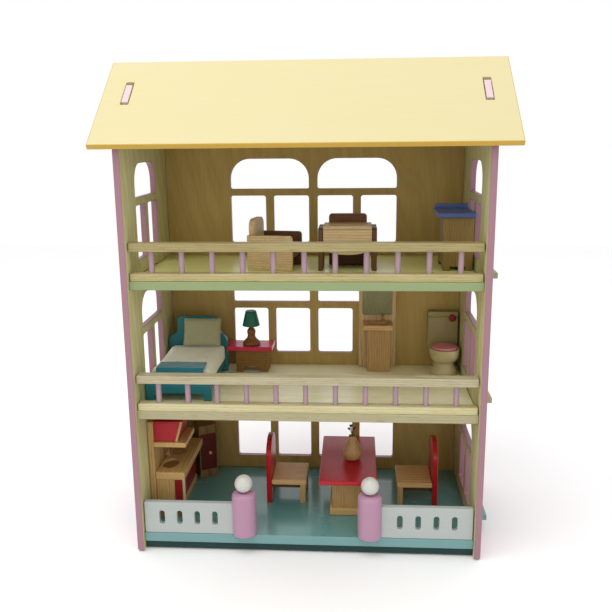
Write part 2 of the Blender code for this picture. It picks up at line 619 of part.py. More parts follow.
# ---------------------------------------------------------------- toilet
TX = 214.0
bowl = lathe("toilet_bowl", [(0.0, 0.0), (20.6, 0.0), (21.2, 3.0), (18.6, 10.0), (15.2, 16.5),
                             (15.6, 19.6), (20.4, 23.2), (23.2, 28.4), (24.2, 35.0),
                             (24.4, 42.0), (0.0, 42.0)],
             (TX, 201.7, M), "white", 28)
cut(bowl, cutter("toilet_rear", rect(TX - 16.0, TX + 16.0, M + 0.0, M + 42.0), 205.0, 226.0, "y"),
    "UNION")
cut(bowl, tool_lathe("toilet_hollow", [(0.0, 0.0), (11.0, 0.0), (14.0, 4.0), (15.0, 16.0),
                                       (0.0, 16.0)], (TX, 200.0, M + 31.0), 24))
block("toilet_cistern", (188.5, 238.0), (226.3, 242.4), (M + 36.0, M + 96.5), "white", 1.5, 2)
button = lathe("toilet_button", [(0.0, 0.0), (6.0, 0.0), (6.0, 2.6), (4.6, 4.0), (0.0, 4.0)],
               (0.0, 0.0, 0.0), "red", 20)
button.location = (mm(228.0), wy(226.0), mm(M + 86.0))
button.rotation_euler = (math.radians(90.0), 0.0, 0.0)
HINGE_Y, HINGE_Z = 221.5, 44.0
seat_shape = [(TX + 20.0 * math.cos(math.radians(a)), 201.0 + 20.0 * math.sin(math.radians(a)))
              for a in range(155, 386, 15)]
seat_shape += [(TX + 15.0, HINGE_Y + 1.6), (TX - 15.0, HINGE_Y + 1.6)]
plate("toilet_lid", seat_shape, M + 42.3, M + 45.6, "z", "rose", 0.8,
      origin=Vector((mm(TX), wy(HINGE_Y), mm(M + HINGE_Z))))

# ---------------------------------------------------------------- armchair
ARM_X = (-85.0, -17.0)


ARM_Y, ARM_T, ARM_H = (94.0, 160.0), 7.0, 51.0
TURN = math.radians(-9.0)
PIVOT = Vector((mm(-51.0), wy(127.0), 0.0))


def turned(obj):
    """Turn a piece about the upright axis through the middle of the armchair."""
    offset = obj.location - PIVOT
    c, s = math.cos(TURN), math.sin(TURN)
    obj.location = PIVOT + Vector((c * offset.x - s * offset.y, s * offset.x + c * offset.y,
                                   offset.z))
    obj.rotation_euler = (0.0, 0.0, TURN)


def arm_outline():
    x0, x1 = ARM_X
    return [(x0, T), (x1, T)] + arc((x1 - 5.0, T + ARM_H - 5.0), 5.0, 0, 90, 2) + [(x0, T + ARM_H)]


for name, y0, key in (("armchair_arm_near", ARM_Y[0], "pine"),
                      ("armchair_arm_far", ARM_Y[1] - ARM_T, "walnut")):
    turned(plate(name, arm_outline(), y0, y0 + ARM_T, "y", key, 0.8))
y0, y1 = ARM_Y[0] + ARM_T + GAP, ARM_Y[1] - ARM_T - GAP
turned(plate("armchair_back", [(y0, T + 10.0), (y1, T + 10.0)]
             + arc((y1 - 12.0, T + 62.0), 12.0, 0, 90, 3)
             + arc((y0 + 12.0, T + 62.0), 12.0, 90, 180, 3), -84.0, -75.0, "x", "pine", 0.8))
turned(block("armchair_seat", (-74.7, -20.0), (y0, y1), (T + 16.0, T + 30.0), "walnut", 1.5, 2))

# ---------------------------------------------------------------- desk
apron = [(22.3, T + 34.0)] + [(57.5 - 35.2 * math.cos(math.radians(a)),
                               T + 34.0 - 11.0 * math.sin(math.radians(a)))
                              for a in (20, 45, 70, 90, 110, 135, 160)] + \
        [(92.7, T + 34.0), (92.7, T + 59.7), (22.3, T + 59.7)]
plate("desk_front", apron, 95.0, 102.0, "y", "pine", 0.8)
block("desk_top", (22.3, 92.7), (94.0, 146.0), (T + 60.0, T + 65.0), "pine", 0.8)
for side, x0, x1 in (("left", 15.0, 22.0), ("right", 93.0, 100.0)):
    shape = [(95.0, T), (146.0, T), (146.0, T + 62.0)] + \
        arc((102.0, T + 55.0), 7.0, 90, 180, 3)
    plate("desk_side_" + side, shape, x0, x1, "x", "walnut", 0.8)
plate("desk_back", rounded_rect(29.0, 86.0, T, T + 78.0, 2.0, 5.0, 2), 146.3, 153.0, "y",
      "walnut", 0.8)

# ---------------------------------------------------------------- chest with the blue top
chest = block("chest_body", (195.0, 237.5), (96.0, 162.0), (T + 6.0, T + 76.7), "pine", 0.0)
for i, (x, y) in enumerate(((195.0, 96.0), (195.0, 152.0), (227.5, 96.0), (227.5, 152.0))):
    cut(chest, cutter("chest_foot_%d" % i, rect(x, x + 10.0, T, T + 12.0), y, y + 10.0, "y"), "UNION")
blue = block("chest_top", (186.0, 240.0), (90.0, 168.0), (T + 77.0, T + 84.0), "navy", 0.0)
cut(blue, cutter("chest_upstand", rect(188.0, 238.0, T + 80.0, T + 91.0), 161.0, 167.0, "y"), "UNION")

bpy.context.view_layer.update()
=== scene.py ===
import json
import math
import random

import bmesh
import bpy
from mathutils import Matrix, Vector


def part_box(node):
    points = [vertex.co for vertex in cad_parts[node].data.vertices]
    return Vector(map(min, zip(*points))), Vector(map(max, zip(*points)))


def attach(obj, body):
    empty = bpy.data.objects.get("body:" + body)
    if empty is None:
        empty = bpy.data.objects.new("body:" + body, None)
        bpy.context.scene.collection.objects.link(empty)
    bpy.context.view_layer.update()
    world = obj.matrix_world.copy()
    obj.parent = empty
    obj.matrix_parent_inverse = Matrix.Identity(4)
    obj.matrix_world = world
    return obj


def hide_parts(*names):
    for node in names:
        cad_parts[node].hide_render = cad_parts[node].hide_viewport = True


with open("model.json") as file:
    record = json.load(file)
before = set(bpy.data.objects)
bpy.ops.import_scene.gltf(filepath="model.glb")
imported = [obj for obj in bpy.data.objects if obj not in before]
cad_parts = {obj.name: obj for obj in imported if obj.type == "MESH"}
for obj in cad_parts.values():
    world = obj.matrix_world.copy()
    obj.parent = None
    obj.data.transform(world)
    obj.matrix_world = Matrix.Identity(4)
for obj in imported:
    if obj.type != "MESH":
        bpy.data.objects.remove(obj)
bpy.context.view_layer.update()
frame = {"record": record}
RECORD = frame["record"]
BODY = {n: b for b, ns in RECORD["behaviour"]["bodies"].items() for n in ns}
SCENE = bpy.context.scene
SCENE.view_settings.view_transform = "Standard"

# lengths below are millimetres: x and z as in the frame, y from the front edge of
# the side panels, which is 126 mm in front of the frame's origin
HALF_DEPTH = 126
G, M, T = 27.3, 217.3, 405.3          # where pieces stand on the three floors
FLOOR_TOPS = (27, 217, 405)
ROOF_ANGLE = math.radians(39.6)
EAVE = (-12.5, 589)                   # y, z of the front slab's upper eave corner
ROOF_T = 8
ROOF_HALF = 280
TAB = (59.5, 88.5)                    # y of the side walls' tabs through the roof
SLOT_Y = (56.5, 94.5)                 # y of the slots they pass
SLOT_X = 245.5
WALL = (241, 250)                     # x of a side wall's two faces
FLOOR_HALF = 240.7                    # half a floor board's length between the side walls
TENON_X, TENON_Y = (238, 272), (84, 168)
MORTISE_Y = (83.7, 168.3)
TOP_LIGHT, PANE = (109, 157), (21, 98)  # window heights above the floor
BAR = 13                              # upright bar between two panes
BALUSTERS, PITCH, RAIL_Y = 11, 42, 17
FENCE_SLOTS = (134.8, 161.1, 187.2, 213.3)
POST_X, POST_Y, POST_R, POST_H = 91.5, 12, 17.5, 66.5
BALL_R, BALL_FLAT = 13, 74            # the ball is cut flat at this angle below its middle


def at(x, y, z):
    return Vector((x * 0.001, (y - HALF_DEPTH) * 0.001, z * 0.001))


def placed(axis, a, b, c):
    """A point of a flat outline (a, b) at depth c along an axis."""
    if axis == "x":
        return at(c, a, b)
    if axis == "y":
        return at(a, c, b)
    return at(a, b, c)


def size_of(node):
    """The node's corners in millimetres, y from the front edge."""
    lo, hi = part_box(node)
    return [(lo[i] * 1000 + (HALF_DEPTH if i == 1 else 0), hi[i] * 1000 + (HALF_DEPTH if i == 1 else 0))
            for i in range(3)]


# ---------- materials
def lin(rgb):
    out = []
    for v in rgb:
        v = v / 255
        out.append(v / 12.92 if v <= 0.04045 else ((v + 0.055) / 1.055) ** 2.4)
    return tuple(out) + (1,)


class Shader:
    """A Principled material and a few short ways to add nodes to it."""

    def __init__(self, name, rough=0.5):
        self.mat = bpy.data.materials.new(name)
        self.mat.use_nodes = True
        self.tree = self.mat.node_tree
        self.bsdf = self.tree.nodes["Principled BSDF"]
        self.bsdf.inputs["Roughness"].default_value = rough
        self.coords = self.node("ShaderNodeTexCoord").outputs["Object"]

    def node(self, kind, ins=None, **attrs):
        n = self.tree.nodes.new(kind)
        for k, v in attrs.items():
            setattr(n, k, v)
        for k, v in (ins or {}).items():
            if isinstance(v, bpy.types.NodeSocket):
                self.tree.links.new(v, n.inputs[k])
            else:
                n.inputs[k].default_value = v
        return n

    def mapped(self, scale=(1, 1, 1), move=(0, 0, 0)):
        return self.node("ShaderNodeMapping", {"Vector": self.coords, "Scale": scale,
                                               "Location": move}).outputs[0]

    def noise(self, scale, vector, detail=3, rough=0.55, distort=0):
        return self.node("ShaderNodeTexNoise", {"Vector": vector, "Scale": scale, "Detail": detail,
                                                "Roughness": rough, "Distortion": distort}).outputs["Fac"]

    def ramp(self, fac, stops):
        n = self.node("ShaderNodeValToRGB", {"Fac": fac})
        r = n.color_ramp
        while len(r.elements) < len(stops):
            r.elements.new(0.5)
        for e, (p, c) in zip(r.elements, stops):
            e.position = p
            e.color = c if not isinstance(c, (int, float)) else (c, c, c, 1)
        return n.outputs["Color"]

    def mix(self, fac, a, b):
        return self.node("ShaderNodeMix", {0: fac, 6: a, 7: b}, data_type="RGBA").outputs[2]

    def math(self, op, a, b):
        return self.node("ShaderNodeMath", {0: a, 1: b}, operation=op).outputs[0]

    def weighted(self, *terms):
        """The sum of sockets times their factors."""
        total = 0
        for socket, factor in terms:
            total = self.node("ShaderNodeMath", {0: socket, 1: factor, 2: total},
                              operation="MULTIPLY_ADD").outputs[0]
        return total

    def warped(self, vector, scale, amount):
        """The vector pushed about by soft noise."""
        soft = self.node("ShaderNodeTexNoise", {"Vector": vector, "Scale": scale, "Detail": 2})
        push = self.node("ShaderNodeVectorMath", {0: soft.outputs["Color"], 1: (amount,) * 3},
                         operation="MULTIPLY")
        return self.node("ShaderNodeVectorMath", {0: vector, 1: push.outputs[0]}, operation="ADD").outputs[0]

    def wave(self, vector, scale, distortion, detail, **attrs):
        return self.node("ShaderNodeTexWave", {"Vector": vector, "Scale": scale, "Distortion": distortion,
                                               "Detail": detail[0], "Detail Scale": detail[1]},
                         **attrs).outputs["Fac"]

    def surface(self, **values):
        """Constant values on the shader's own sockets, words joined by underscores."""
        for k, v in values.items():
            self.bsdf.inputs[k.replace("_", " ")].default_value = v

    def scaled(self, fac, low, high):
        return self.node("ShaderNodeMapRange", {"Value": fac, "From Min": 0.25, "From Max": 0.75,
                                                "To Min": low, "To Max": high}).outputs[0]

    def finish(self, colour, rough=None, height=None, strength=0.2, distance=0.0004):
        self.tree.links.new(colour, self.bsdf.inputs["Base Color"])
        if rough is not None:
            self.tree.links.new(rough, self.bsdf.inputs["Roughness"])
        if height is not None:
            bump = self.node("ShaderNodeBump", {"Height": height, "Strength": strength,
                                                "Distance": distance})
            self.tree.links.new(bump.outputs[0], self.bsdf.inputs["Normal"])
        return self.mat




def shaded(colour, factor):
    return tuple(v * factor for v in colour[:3]) + (1,)




def stretch(axis, along, across):
    s = [across] * 3
    s["xyz".index(axis)] = along
    return tuple(s)


def wood(name, light, dark, axis, ring, seed, rough=0.5, coat=0.05, contrast=1, pores=0.5, bump=0.25):
    """Solid wood: growth rings about an off-centre heart, fibres and pores along the grain."""
    s = Shader(name, rough)
    light, dark = lin(light), lin(dark)
    rnd = random.Random(int(seed * 97) + 5)
    heart = [rnd.uniform(0.05, 0.11) for _ in range(3)]
    heart["xyz".index(axis)] = rnd.uniform(0, 1)
    base = s.mapped(stretch(axis, 0.10, 1), heart)
    rings = s.wave(s.warped(base, 16, 0.022), ring, 0.6, (2, 1.5),
                   wave_type="RINGS", rings_direction=axis.upper(), wave_profile="SAW")
    fibres = s.noise(420, s.mapped(stretch(axis, 0.035, 1), heart), 3, 0.6)
    blotch = s.noise(22, s.mapped(stretch(axis, 0.35, 1), heart), 2)
    fine = s.noise(1500, s.mapped(stretch(axis, 0.03, 1), heart), 1)
    body = s.ramp(rings, [(0, light), (0.62, light), (0.9, s_mix(light, dark, 0.75 * contrast)),
                          (1, s_mix(light, dark, 0.3 * contrast))])
    colour = s.mix(s.scaled(fibres, 0, 0.55 * contrast), body, dark)
    colour = s.mix(s.scaled(blotch, 0, 0.35 * contrast), colour, s_mix(light, dark, 0.8))
    pore = s.ramp(fine, [(0, 0), (0.34, 0), (0.36, 1), (1, 1)])
    colour = s.mix(s.math("MULTIPLY", s.math("SUBTRACT", 1, pore), pores), colour, shaded(dark, 0.45))
    height = s.weighted((fibres, 0.5), (rings, 0.35), (pore, 0.25))
    s.surface(Specular_IOR_Level=0.3, Coat_Weight=coat, Coat_Roughness=0.28)
    return s.finish(colour, s.scaled(blotch, rough - 0.07, rough + 0.09), height, bump, 0.00025)


def s_mix(a, b, t):
    return tuple(x + (y - x) * t for x, y in zip(a, b))


def paint(name, rgb, rough=0.4, coat=0, axis="x", wear=0.35, under=(205, 180, 140), shade=None,
          grain=0.35, coat_rough=0.15, mottle=0.10):
    """Sprayed or brushed paint on wood: faint grain under it, soft mottling, worn edges, and a painted
    highlight along every rounded arris.
    """
    s = Shader(name + " paint", rough)
    base = lin(rgb)
    low = lin(shade) if shade else shaded(base, 0.82)
    high = tuple(min(1, v * 1.10 + 0.004) for v in base[:3]) + (1,)
    cloud = s.noise(14, s.mapped(stretch(axis, 0.5, 1)), 3)
    streak = s.noise(260, s.mapped(stretch(axis, 0.05, 1), (0.3, 0.1, 0.7)), 2, 0.6)
    peel = s.noise(1400, s.mapped(), 1)
    colour = s.mix(s.scaled(cloud, 0, mottle * 3), base, low)
    colour = s.mix(s.scaled(streak, 0, mottle * 2), colour, high)
    edge = s.node("ShaderNodeAttribute", attribute_name="edge").outputs["Fac"]
    chips = s.ramp(s.noise(330, s.mapped((1, 1, 1), (0.2, 0.5, 0.1)), 4, 0.65),
                   [(0, 0), (0.54, 0), (0.60, 1), (1, 1)])
    rub = s.math("MULTIPLY", s.math("MULTIPLY", edge, chips), wear)
    # painted highlight: every rounded arris is lightened towards the brighter paint tone
    colour = s.mix(s.math("MULTIPLY", edge, 0.18), colour, high)
    colour = s.mix(rub, colour, lin(under))
    height = s.weighted((streak, grain), (peel, 0.25), (rub, -0.4))
    s.surface(Specular_IOR_Level=0.28, Coat_Weight=coat, Coat_Roughness=coat_rough)
    return s.finish(colour, s.scaled(cloud, rough - 0.05, rough + 0.08), height, 0.22, 0.0002)


def ply_face(name, light, dark, axis="z", rough=0.62, seed=1, knots=0.5, figure_depth=1, fine=0.45):
    """Rotary-cut veneer: broad flowing figure, fine vessels, a few darker patches."""
    s = Shader(name, rough)
    light, dark = lin(light), lin(dark)
    move = (0.3 * seed, 0.17 * seed, 0.41 * seed)
    base = s.mapped(stretch(axis, 0.22, 1), move)
    figure = s.wave(s.warped(base, 7, 0.09), 21, 1.4, (3, 1.2), bands_direction="DIAGONAL")
    vessels = s.noise(700, s.mapped(stretch(axis, 0.04, 1), move), 2, 0.6)
    broad = s.noise(5, s.mapped((1, 1, 1), move), 2)
    colour = s.ramp(figure, [(0, light), (0.5, s_mix(light, dark, 0.22 * figure_depth)),
                             (0.85, s_mix(light, dark, 0.5 * figure_depth)),
                             (1, s_mix(light, dark, 0.2 * figure_depth))])
    colour = s.mix(s.scaled(vessels, 0, fine), colour, dark)
    colour = s.mix(s.scaled(broad, 0, knots), colour, s_mix(light, dark, 0.9))
    height = s.weighted((vessels, 0.6), (figure, 0.2))
    return s.finish(colour, s.scaled(vessels, rough - 0.05, rough + 0.1), height, 0.25, 0.0002)


def cloth(name, rgb, weave=1400):
    """Plain woven cotton: crossing threads, slubs and soft creases, the creases darkened as painted shade.
    """
    s = Shader(name, 0.9)
    base = lin(rgb)
    low = shaded(base, 0.72)
    warp, weft, rise = (s.wave(s.mapped(), weave / 3, 0.5, (1, 1), bands_direction=d) for d in "XYZ")
    slub = s.noise(160, s.mapped((1, 0.3, 1)), 3)
    crease = s.noise(38, s.mapped(), 3, 0.6, 0.6)
    threads = s.math("MAXIMUM", s.math("MULTIPLY", warp, weft), s.math("MULTIPLY", rise, 0.6))
    colour = s.mix(s.scaled(threads, 0.25, 0), base, low)
    colour = s.mix(s.scaled(slub, 0, 0.22), colour, low)
    # painted shade: the colour darkens along the creases
    colour = s.mix(s.scaled(crease, 0, 0.25), colour, low)
    height = s.weighted((threads, 0.5), (crease, 1.2))
    s.surface(Sheen_Weight=0.35, Sheen_Roughness=0.5)
    return s.finish(colour, s.scaled(slub, 0.84, 0.95), height, 0.35, 0.0006)


def silver(name):
    """Mirror card: part metal under a slightly dull, scuffed film, tinted khaki-green as a painted
    reflection of the wooden room.
    """
    s = Shader(name, 0.2)
    haze = s.noise(60, s.mapped(), 3)
    scuff = s.noise(500, s.mapped((1, 1, 0.12)), 2)
    # painted reflection: the khaki-greens stand for the wooden room seen in the mirror
    colour = s.mix(s.scaled(haze, 0, 0.4), lin((118, 116, 78)), lin((96, 94, 58)))
    s.surface(Metallic=0.6)
    return s.finish(colour, s.scaled(scuff, 0.22, 0.36), scuff, 0.05, 0.0001)


NATURAL = ((226, 204, 158), (186, 146, 92))
INSIDE = ((212, 212, 160), (176, 165, 107))
# a darker copy of the same ply, painted shade: for the back panel's inside and the undersides, which sit in
# shade
SHADED_PLY = ((193, 168, 96), (146, 112, 50))

wood_x = wood("birch along x", *NATURAL, "x", 90, 2)
wood_z = wood("birch upright", *NATURAL, "z", 80, 6)
beech_z = wood("beech upright", (198, 164, 108), (150, 110, 58), "z", 100, 8)
beech_x = wood("beech along x", (222, 188, 130), (176, 128, 74), "x", 110, 9, 0.48, 0.08)
beech_y = wood("beech along y", (212, 178, 118), (162, 118, 60), "y", 110, 10, 0.48, 0.08)
night_wood = wood("nightstand wood", (150, 113, 50), (104, 70, 26), "x", 110, 20, 0.48, 0.05)
chest_wood = wood("chest wood", (154, 129, 68), (114, 86, 38), "z", 100, 21)
dark_x = wood("stained wood along x", (122, 82, 42), (74, 44, 20), "x", 90, 11)
dark_y = wood("stained wood along y", (122, 82, 42), (74, 44, 20), "y", 90, 12)
dark_z = wood("stained wood upright", (120, 80, 42), (72, 44, 20), "z", 90, 13)
inside_ply = ply_face("inner ply", *INSIDE, "z", 0.55, 1, 0.3)
# the back panel's inside and the roof and floor undersides take the darker ply, painted shade
back_ply = ply_face("back ply", *SHADED_PLY, "z", 0.62, 2.3, 0.4, 0.45, 0.3)
under_ply = ply_face("roof underside ply", *SHADED_PLY, "x", 0.62, 3.1, 0.4)
# pink, for the cut edges and window reveals: a darker copy of the outer pink, painted shade
pink = paint("pink", (156, 116, 126), 0.42, 0.05, "z", 0.25)
outer_pink = paint("outer pink", (186, 138, 152), 0.42, 0.05, "z", 0.25)
# tab: a paler copy of the pink for the tabs above the roof, partly their pale end grain and partly a painted
# highlight of their lit tops
tab_pink = paint("tab", (214, 190, 196), 0.45, 0, "y", 0.2)
post_pink = paint("gatepost", (177, 135, 159), 0.3, 0.15, "z", 0.15)
rod_pink = paint("baluster", (164, 137, 145), 0.4, 0.1, "z", 0.15)
# roof yellow: the strong broad mottling stands in for the roof's uneven lighting, painted light
yellow = paint("roof", (207, 197, 152), 0.42, 0.03, "x", 0.2, (190, 160, 100), (207, 192, 136), 0.5)
ochre = paint("roof edge", (196, 158, 66), 0.45, 0, "x", 0.4, (119, 75, 25))
# green floor top: far paler than its own green edge, a painted reflection of light on its gloss over the
# real green paint
green = paint("green floor", (236, 238, 158), 0.34, 0.2, "x", 0.2, (200, 190, 140), (224, 222, 138))
green_edge = paint("green edge", (141, 155, 110), 0.4, 0.1, "x", 0.3)
# middle floor top: pushed near white, far lighter than its own edge, painted light over the real pale
# varnish
floor_wood = wood("floor board", (252, 252, 222), (234, 230, 170), "x", 60, 14, 0.34, 0.35, 0.8, 0.3,
                  0.12)
floor_edge = wood("floor board edge", (173, 165, 131), (148, 136, 96), "x", 90, 15, 0.45, 0.1, 0.6)
teal = paint("teal floor", (99, 150, 147), 0.24, 0.6, "x", 0.15, (155, 164, 145), (77, 130, 127),
             0.6, 0.12)
# teal edge: a lighter copy of the floor's teal, painted highlight of the lit front face
teal_edge = paint("teal edge", (114, 155, 154), 0.35, 0.2, "x", 0.2)
# plinth: the floor's teal darkened nearly to black, painted shade under the floor board
plinth_teal_painted_shade = paint("plinth", (19, 55, 53), 0.4, 0.1, "x", 0.3)
fence_white = paint("fence", (175, 181, 178), 0.42, 0.1, "x", 0.2)
ball_white = paint("ball", (199, 198, 190), 0.3, 0.4, "z", 0.1)
red = paint("red", (168, 18, 32), 0.36, 0.05, "y", 0.2, (214, 140, 110))
table_red = paint("table", (184, 26, 42), 0.33, 0.08, "y", 0.2, (214, 140, 110))
chair_red = paint("chair", (170, 16, 22), 0.34, 0.08, "z", 0.25, (222, 130, 100))
# kitchen doors: a darker copy of the kitchen red, painted shade of their shaded front
door_red_painted_shade = paint("door", (128, 16, 18), 0.38, 0, "z", 0.2, (200, 120, 100))
crimson = paint("crimson", (206, 40, 78), 0.34, 0.3, "x", 0.3, (224, 150, 140))
bed_teal = paint("bed", (43, 124, 132), 0.38, 0.05, "x", 0.25, (179, 170, 154))
shade_green = paint("shade", (16, 98, 73), 0.36, 0.05, "z", 0.15, (76, 136, 100))
lamp_wood = wood("lamp walnut", (150, 104, 52), (96, 60, 26), "z", 120, 16, 0.4, 0.2)
china = paint("toilet", (192, 179, 132), 0.3, 0.15, "z", 0.1, (173, 152, 99))
# cistern: a darker copy of the toilet's paint, painted shade
cistern_painted_shade = paint("cistern", (154, 140, 92), 0.3, 0.15, "z", 0.1, (140, 120, 76))
lid_rose = paint("lid", (222, 134, 154), 0.36, 0.25, "x", 0.2)
button_red = paint("button", (130, 16, 18), 0.36, 0.3, "z", 0.1)
navy = paint("navy", (70, 92, 144), 0.36, 0.25, "x", 0.3, (130, 140, 160))
vase_wood = wood("vase wood", (196, 160, 108), (148, 106, 60), "z", 140, 17, 0.42, 0.15)
# near-black red for the doors' panel lines and the gap between them: painted shade in a groove and a gap
groove_painted_shade = paint("red line", (62, 8, 12), 0.5, 0, "z", 0)
post_cream = wood("cream post", (196, 176, 132), (160, 132, 84), "z", 90, 18)
cup_wood = wood("cupboard wood", (150, 118, 70), (108, 78, 40), "z", 80, 19)
cup_red = paint("cupboard door", (92, 22, 14), 0.4, 0, "z", 0.2, (150, 90, 60))
leaf = paint("sprig green", (58, 76, 40), 0.5, 0, "z", 0)
berry = paint("sprig red", (96, 40, 40), 0.45, 0.1, "z", 0)
# sink and basin floors: darker brown, painted shade in the hollows
sink_floor_painted_shade = paint("sink floor painted shade", (150, 112, 62), 0.5, 0, "y", 0, mottle=0.3)
sheet_white = cloth("white cotton", (237, 239, 214))
# pillow: a darker copy of the sheet's white cotton, painted shade
pillow_cotton_painted_shade = cloth("pillow cotton", (169, 168, 130))
throw_teal = cloth("teal cotton", (16, 112, 124), 1100)
mirror = silver("mirror card")


# ---------- geometry
def settle(obj, angle=50):
    """Smooth shading in which large flat faces keep their own normals."""
    me = obj.data
    me.shade_smooth()
    me.set_sharp_from_angle(angle=math.radians(angle))
    mod = obj.modifiers.new("flat faces stay flat", "WEIGHTED_NORMAL")
    mod.keep_sharp = True
    mod.weight = 80
    return obj


def finished(bm, name):
    bmesh.ops.recalc_face_normals(bm, faces=bm.faces)
    me = bpy.data.meshes.new(name)
    bm.to_mesh(me)
    bm.free()
    return me


def evaluated(obj):
    bpy.context.view_layer.update()
    return bpy.data.meshes.new_from_object(obj.evaluated_get(bpy.context.evaluated_depsgraph_get()))


def new_object(name, me, mats):
    obj = bpy.data.objects.new(name, me)
    SCENE.collection.objects.link(obj)
    for m in mats:
        me.materials.append(m)
    return obj


def mark_edges(me):
    """Stores 1 on the corners of the rounded arrises, 0 on flat faces."""
    layer = me.attributes.new("edge", "FLOAT", "CORNER")
    for p in me.polygons:
        flat = max(abs(c) for c in p.normal) > 0.985 or p.area > 3e-5
        for li in p.loop_indices:
            layer.data[li].value = 0 if flat else 1


def board(loops, low, high, axis, r, mats, res=1):
    """A board cut to an outline with holes, its arrises rounded.

    mats is one material, or (face towards low, face towards high, cut edges).
    """
    if not isinstance(mats, tuple):
        mats = (mats,) * 3
    cu = bpy.data.curves.new("board", "CURVE")
    cu.dimensions = "2D"
    cu.fill_mode = "BOTH"
    cu.extrude = (high - low) / 2 - r
    cu.bevel_depth = r
    cu.bevel_resolution = res
    cu.offset = -r
    for loop in loops:
        sp = cu.splines.new("POLY")
        sp.points.add(len(loop) - 1)
        for p, (a, b) in zip(sp.points, loop):
            p.co = (a, b, 0, 1)
        sp.use_cyclic_u = True
    tmp = bpy.data.objects.new("board", cu)
    SCENE.collection.objects.link(tmp)
    me = evaluated(tmp)
    bpy.data.objects.remove(tmp)
    bm = bmesh.new()
    bm.from_mesh(me)
    bmesh.ops.remove_doubles(bm, verts=bm.verts, dist=0.002)
    mid = (low + high) / 2
    bmesh.ops.recalc_face_normals(bm, faces=bm.faces)
    for f in bm.faces:
        n = f.normal
        f.material_index = 2 if abs(n.z) < 0.985 else (1 if n.z > 0 else 0)
    for v in bm.verts:
        v.co = placed(axis, v.co.x, v.co.y, v.co.z + mid)
    bmesh.ops.recalc_face_normals(bm, faces=bm.faces)
    bm.to_mesh(me)
    bm.free()
    obj = new_object("board", me, mats)
    mark_edges(me)
    return obj


def block(x, y, z, r, seg):
    """A box between two corners (millimetres) with its edges rounded."""
    bm = bmesh.new()
    bmesh.ops.create_cube(bm, size=1)
    for v in bm.verts:
        v.co = at(*(side[c > 0] for side, c in zip((x, y, z), v.co)))
    bmesh.ops.bevel(bm, geom=list(bm.edges), offset=r * 0.001, segments=seg, profile=0.5,
                    affect="EDGES", clamp_overlap=True)
    return bm


def brick(x, y, z, mat, r=0.8, seg=2, top=None, under=None):
    """A planed block with rounded arrises."""
    bm = block(x, y, z, min(r, 0.45 * min(x[1] - x[0], y[1] - y[0], z[1] - z[0])), seg)
    for f in bm.faces:
        if top is not None and f.normal.z > 0.99:
            f.material_index = 1
        if under is not None and f.normal.z < -0.99:
            f.material_index = 1 if top is None else 2
    me = finished(bm, "brick")
    obj = new_object("brick", me, [m for m in (mat, top, under) if m is not None])
    mark_edges(me)
    return obj


def spline(points, steps=4):
    """Catmull-Rom through (a, b) points."""
    out = []
    n = len(points)
    for i in range(n - 1):
        p = [points[max(0, min(n - 1, i + k))] for k in (-1, 0, 1, 2)]
        for s in range(steps):
            t = s / steps
            out.append(tuple(0.5 * (2 * p[1][d] + (p[2][d] - p[0][d]) * t
                                    + (2 * p[0][d] - 5 * p[1][d] + 4 * p[2][d] - p[3][d]) * t * t
                                    + (3 * p[1][d] - p[0][d] - 3 * p[2][d] + p[3][d]) * t ** 3)
                             for d in (0, 1)))
    return out + [points[-1]]


def skin(bm, rows, around=True):
    """Faces between neighbouring rows of points; a row of a single point is a tip."""
    for lo, hi in zip(rows, rows[1:]):
        n = max(len(lo), len(hi))
        for i in range(n if around else n - 1):
            j = (i + 1) % n
            corners = (lo[i % len(lo)], lo[j % len(lo)], hi[j % len(hi)], hi[i % len(hi)])
            corners = list(dict.fromkeys(corners))
            if len(corners) > 2:
                bm.faces.new(corners)


FORWARD = Matrix.Rotation(math.radians(90), 4, "X")     # lays a turned piece along y, pointing forward


def turned(profile, centre, mat, steps=48, matrix=None):
    """A piece turned on a lathe, profile of (radius, height) from the bottom up."""
    bm = bmesh.new()
    rings = []
    for radius, height in profile:
        if radius < 1e-5:
            rings.append([bm.verts.new((0, 0, height * 0.001))])
        else:
            rings.append([bm.verts.new((radius * 0.001 * math.cos(2 * math.pi * i / steps),
                                        radius * 0.001 * math.sin(2 * math.pi * i / steps),
                                        height * 0.001)) for i in range(steps)])
    skin(bm, rings)
    place = Matrix.Translation(at(*centre)) @ (matrix or Matrix.Identity(4))
    bmesh.ops.transform(bm, matrix=place, verts=bm.verts)
    me = finished(bm, "turned")
    obj = new_object("turned", me, [mat])
    me.attributes.new("edge", "FLOAT", "CORNER")
    return obj


def oval(a, b, ra, rb, angles):
    """Points round an ellipse about (a, b), angles in degrees."""
    return [(a + ra * math.cos(math.radians(t)), b + rb * math.sin(math.radians(t))) for t in angles]


def arc(centre, radius, start, end, steps=10):
    return oval(*centre, radius, radius, [start + (end - start) * i / steps for i in range(steps + 1)])


def rounded(a0, a1, b0, b1, low_r, high_r=None, steps=6):
    high_r = low_r if high_r is None else high_r
    return (arc((a0 + low_r, b0 + low_r), low_r, 180, 270, steps)
            + arc((a1 - low_r, b0 + low_r), low_r, 270, 360, steps)
            + arc((a1 - high_r, b1 - high_r), high_r, 0, 90, steps + 4)
            + arc((a0 + high_r, b1 - high_r), high_r, 90, 180, steps + 4))


def feet(a0, a1, floor, foot, gap, inset=0):
    """The lower edge of a board that stands on two feet, from left to right."""
    return ([(a0 + inset, floor), (a0 + foot, floor)] + arc((a0 + foot + 3, floor + gap), 3, 180, 90, 4)
            + arc((a1 - foot - 3, floor + gap), 3, 90, 0, 4) + [(a1 - foot, floor), (a1 - inset, floor)])


def spin(objs, degrees, point):
    """Turns finished pieces about an upright line through a point (millimetres)."""
    m = Matrix.Translation(at(*point)) @ Matrix.Rotation(math.radians(degrees), 4, "Z") \
        @ Matrix.Translation(-at(*point))
    for o in objs:
        o.data.transform(m)
    return objs


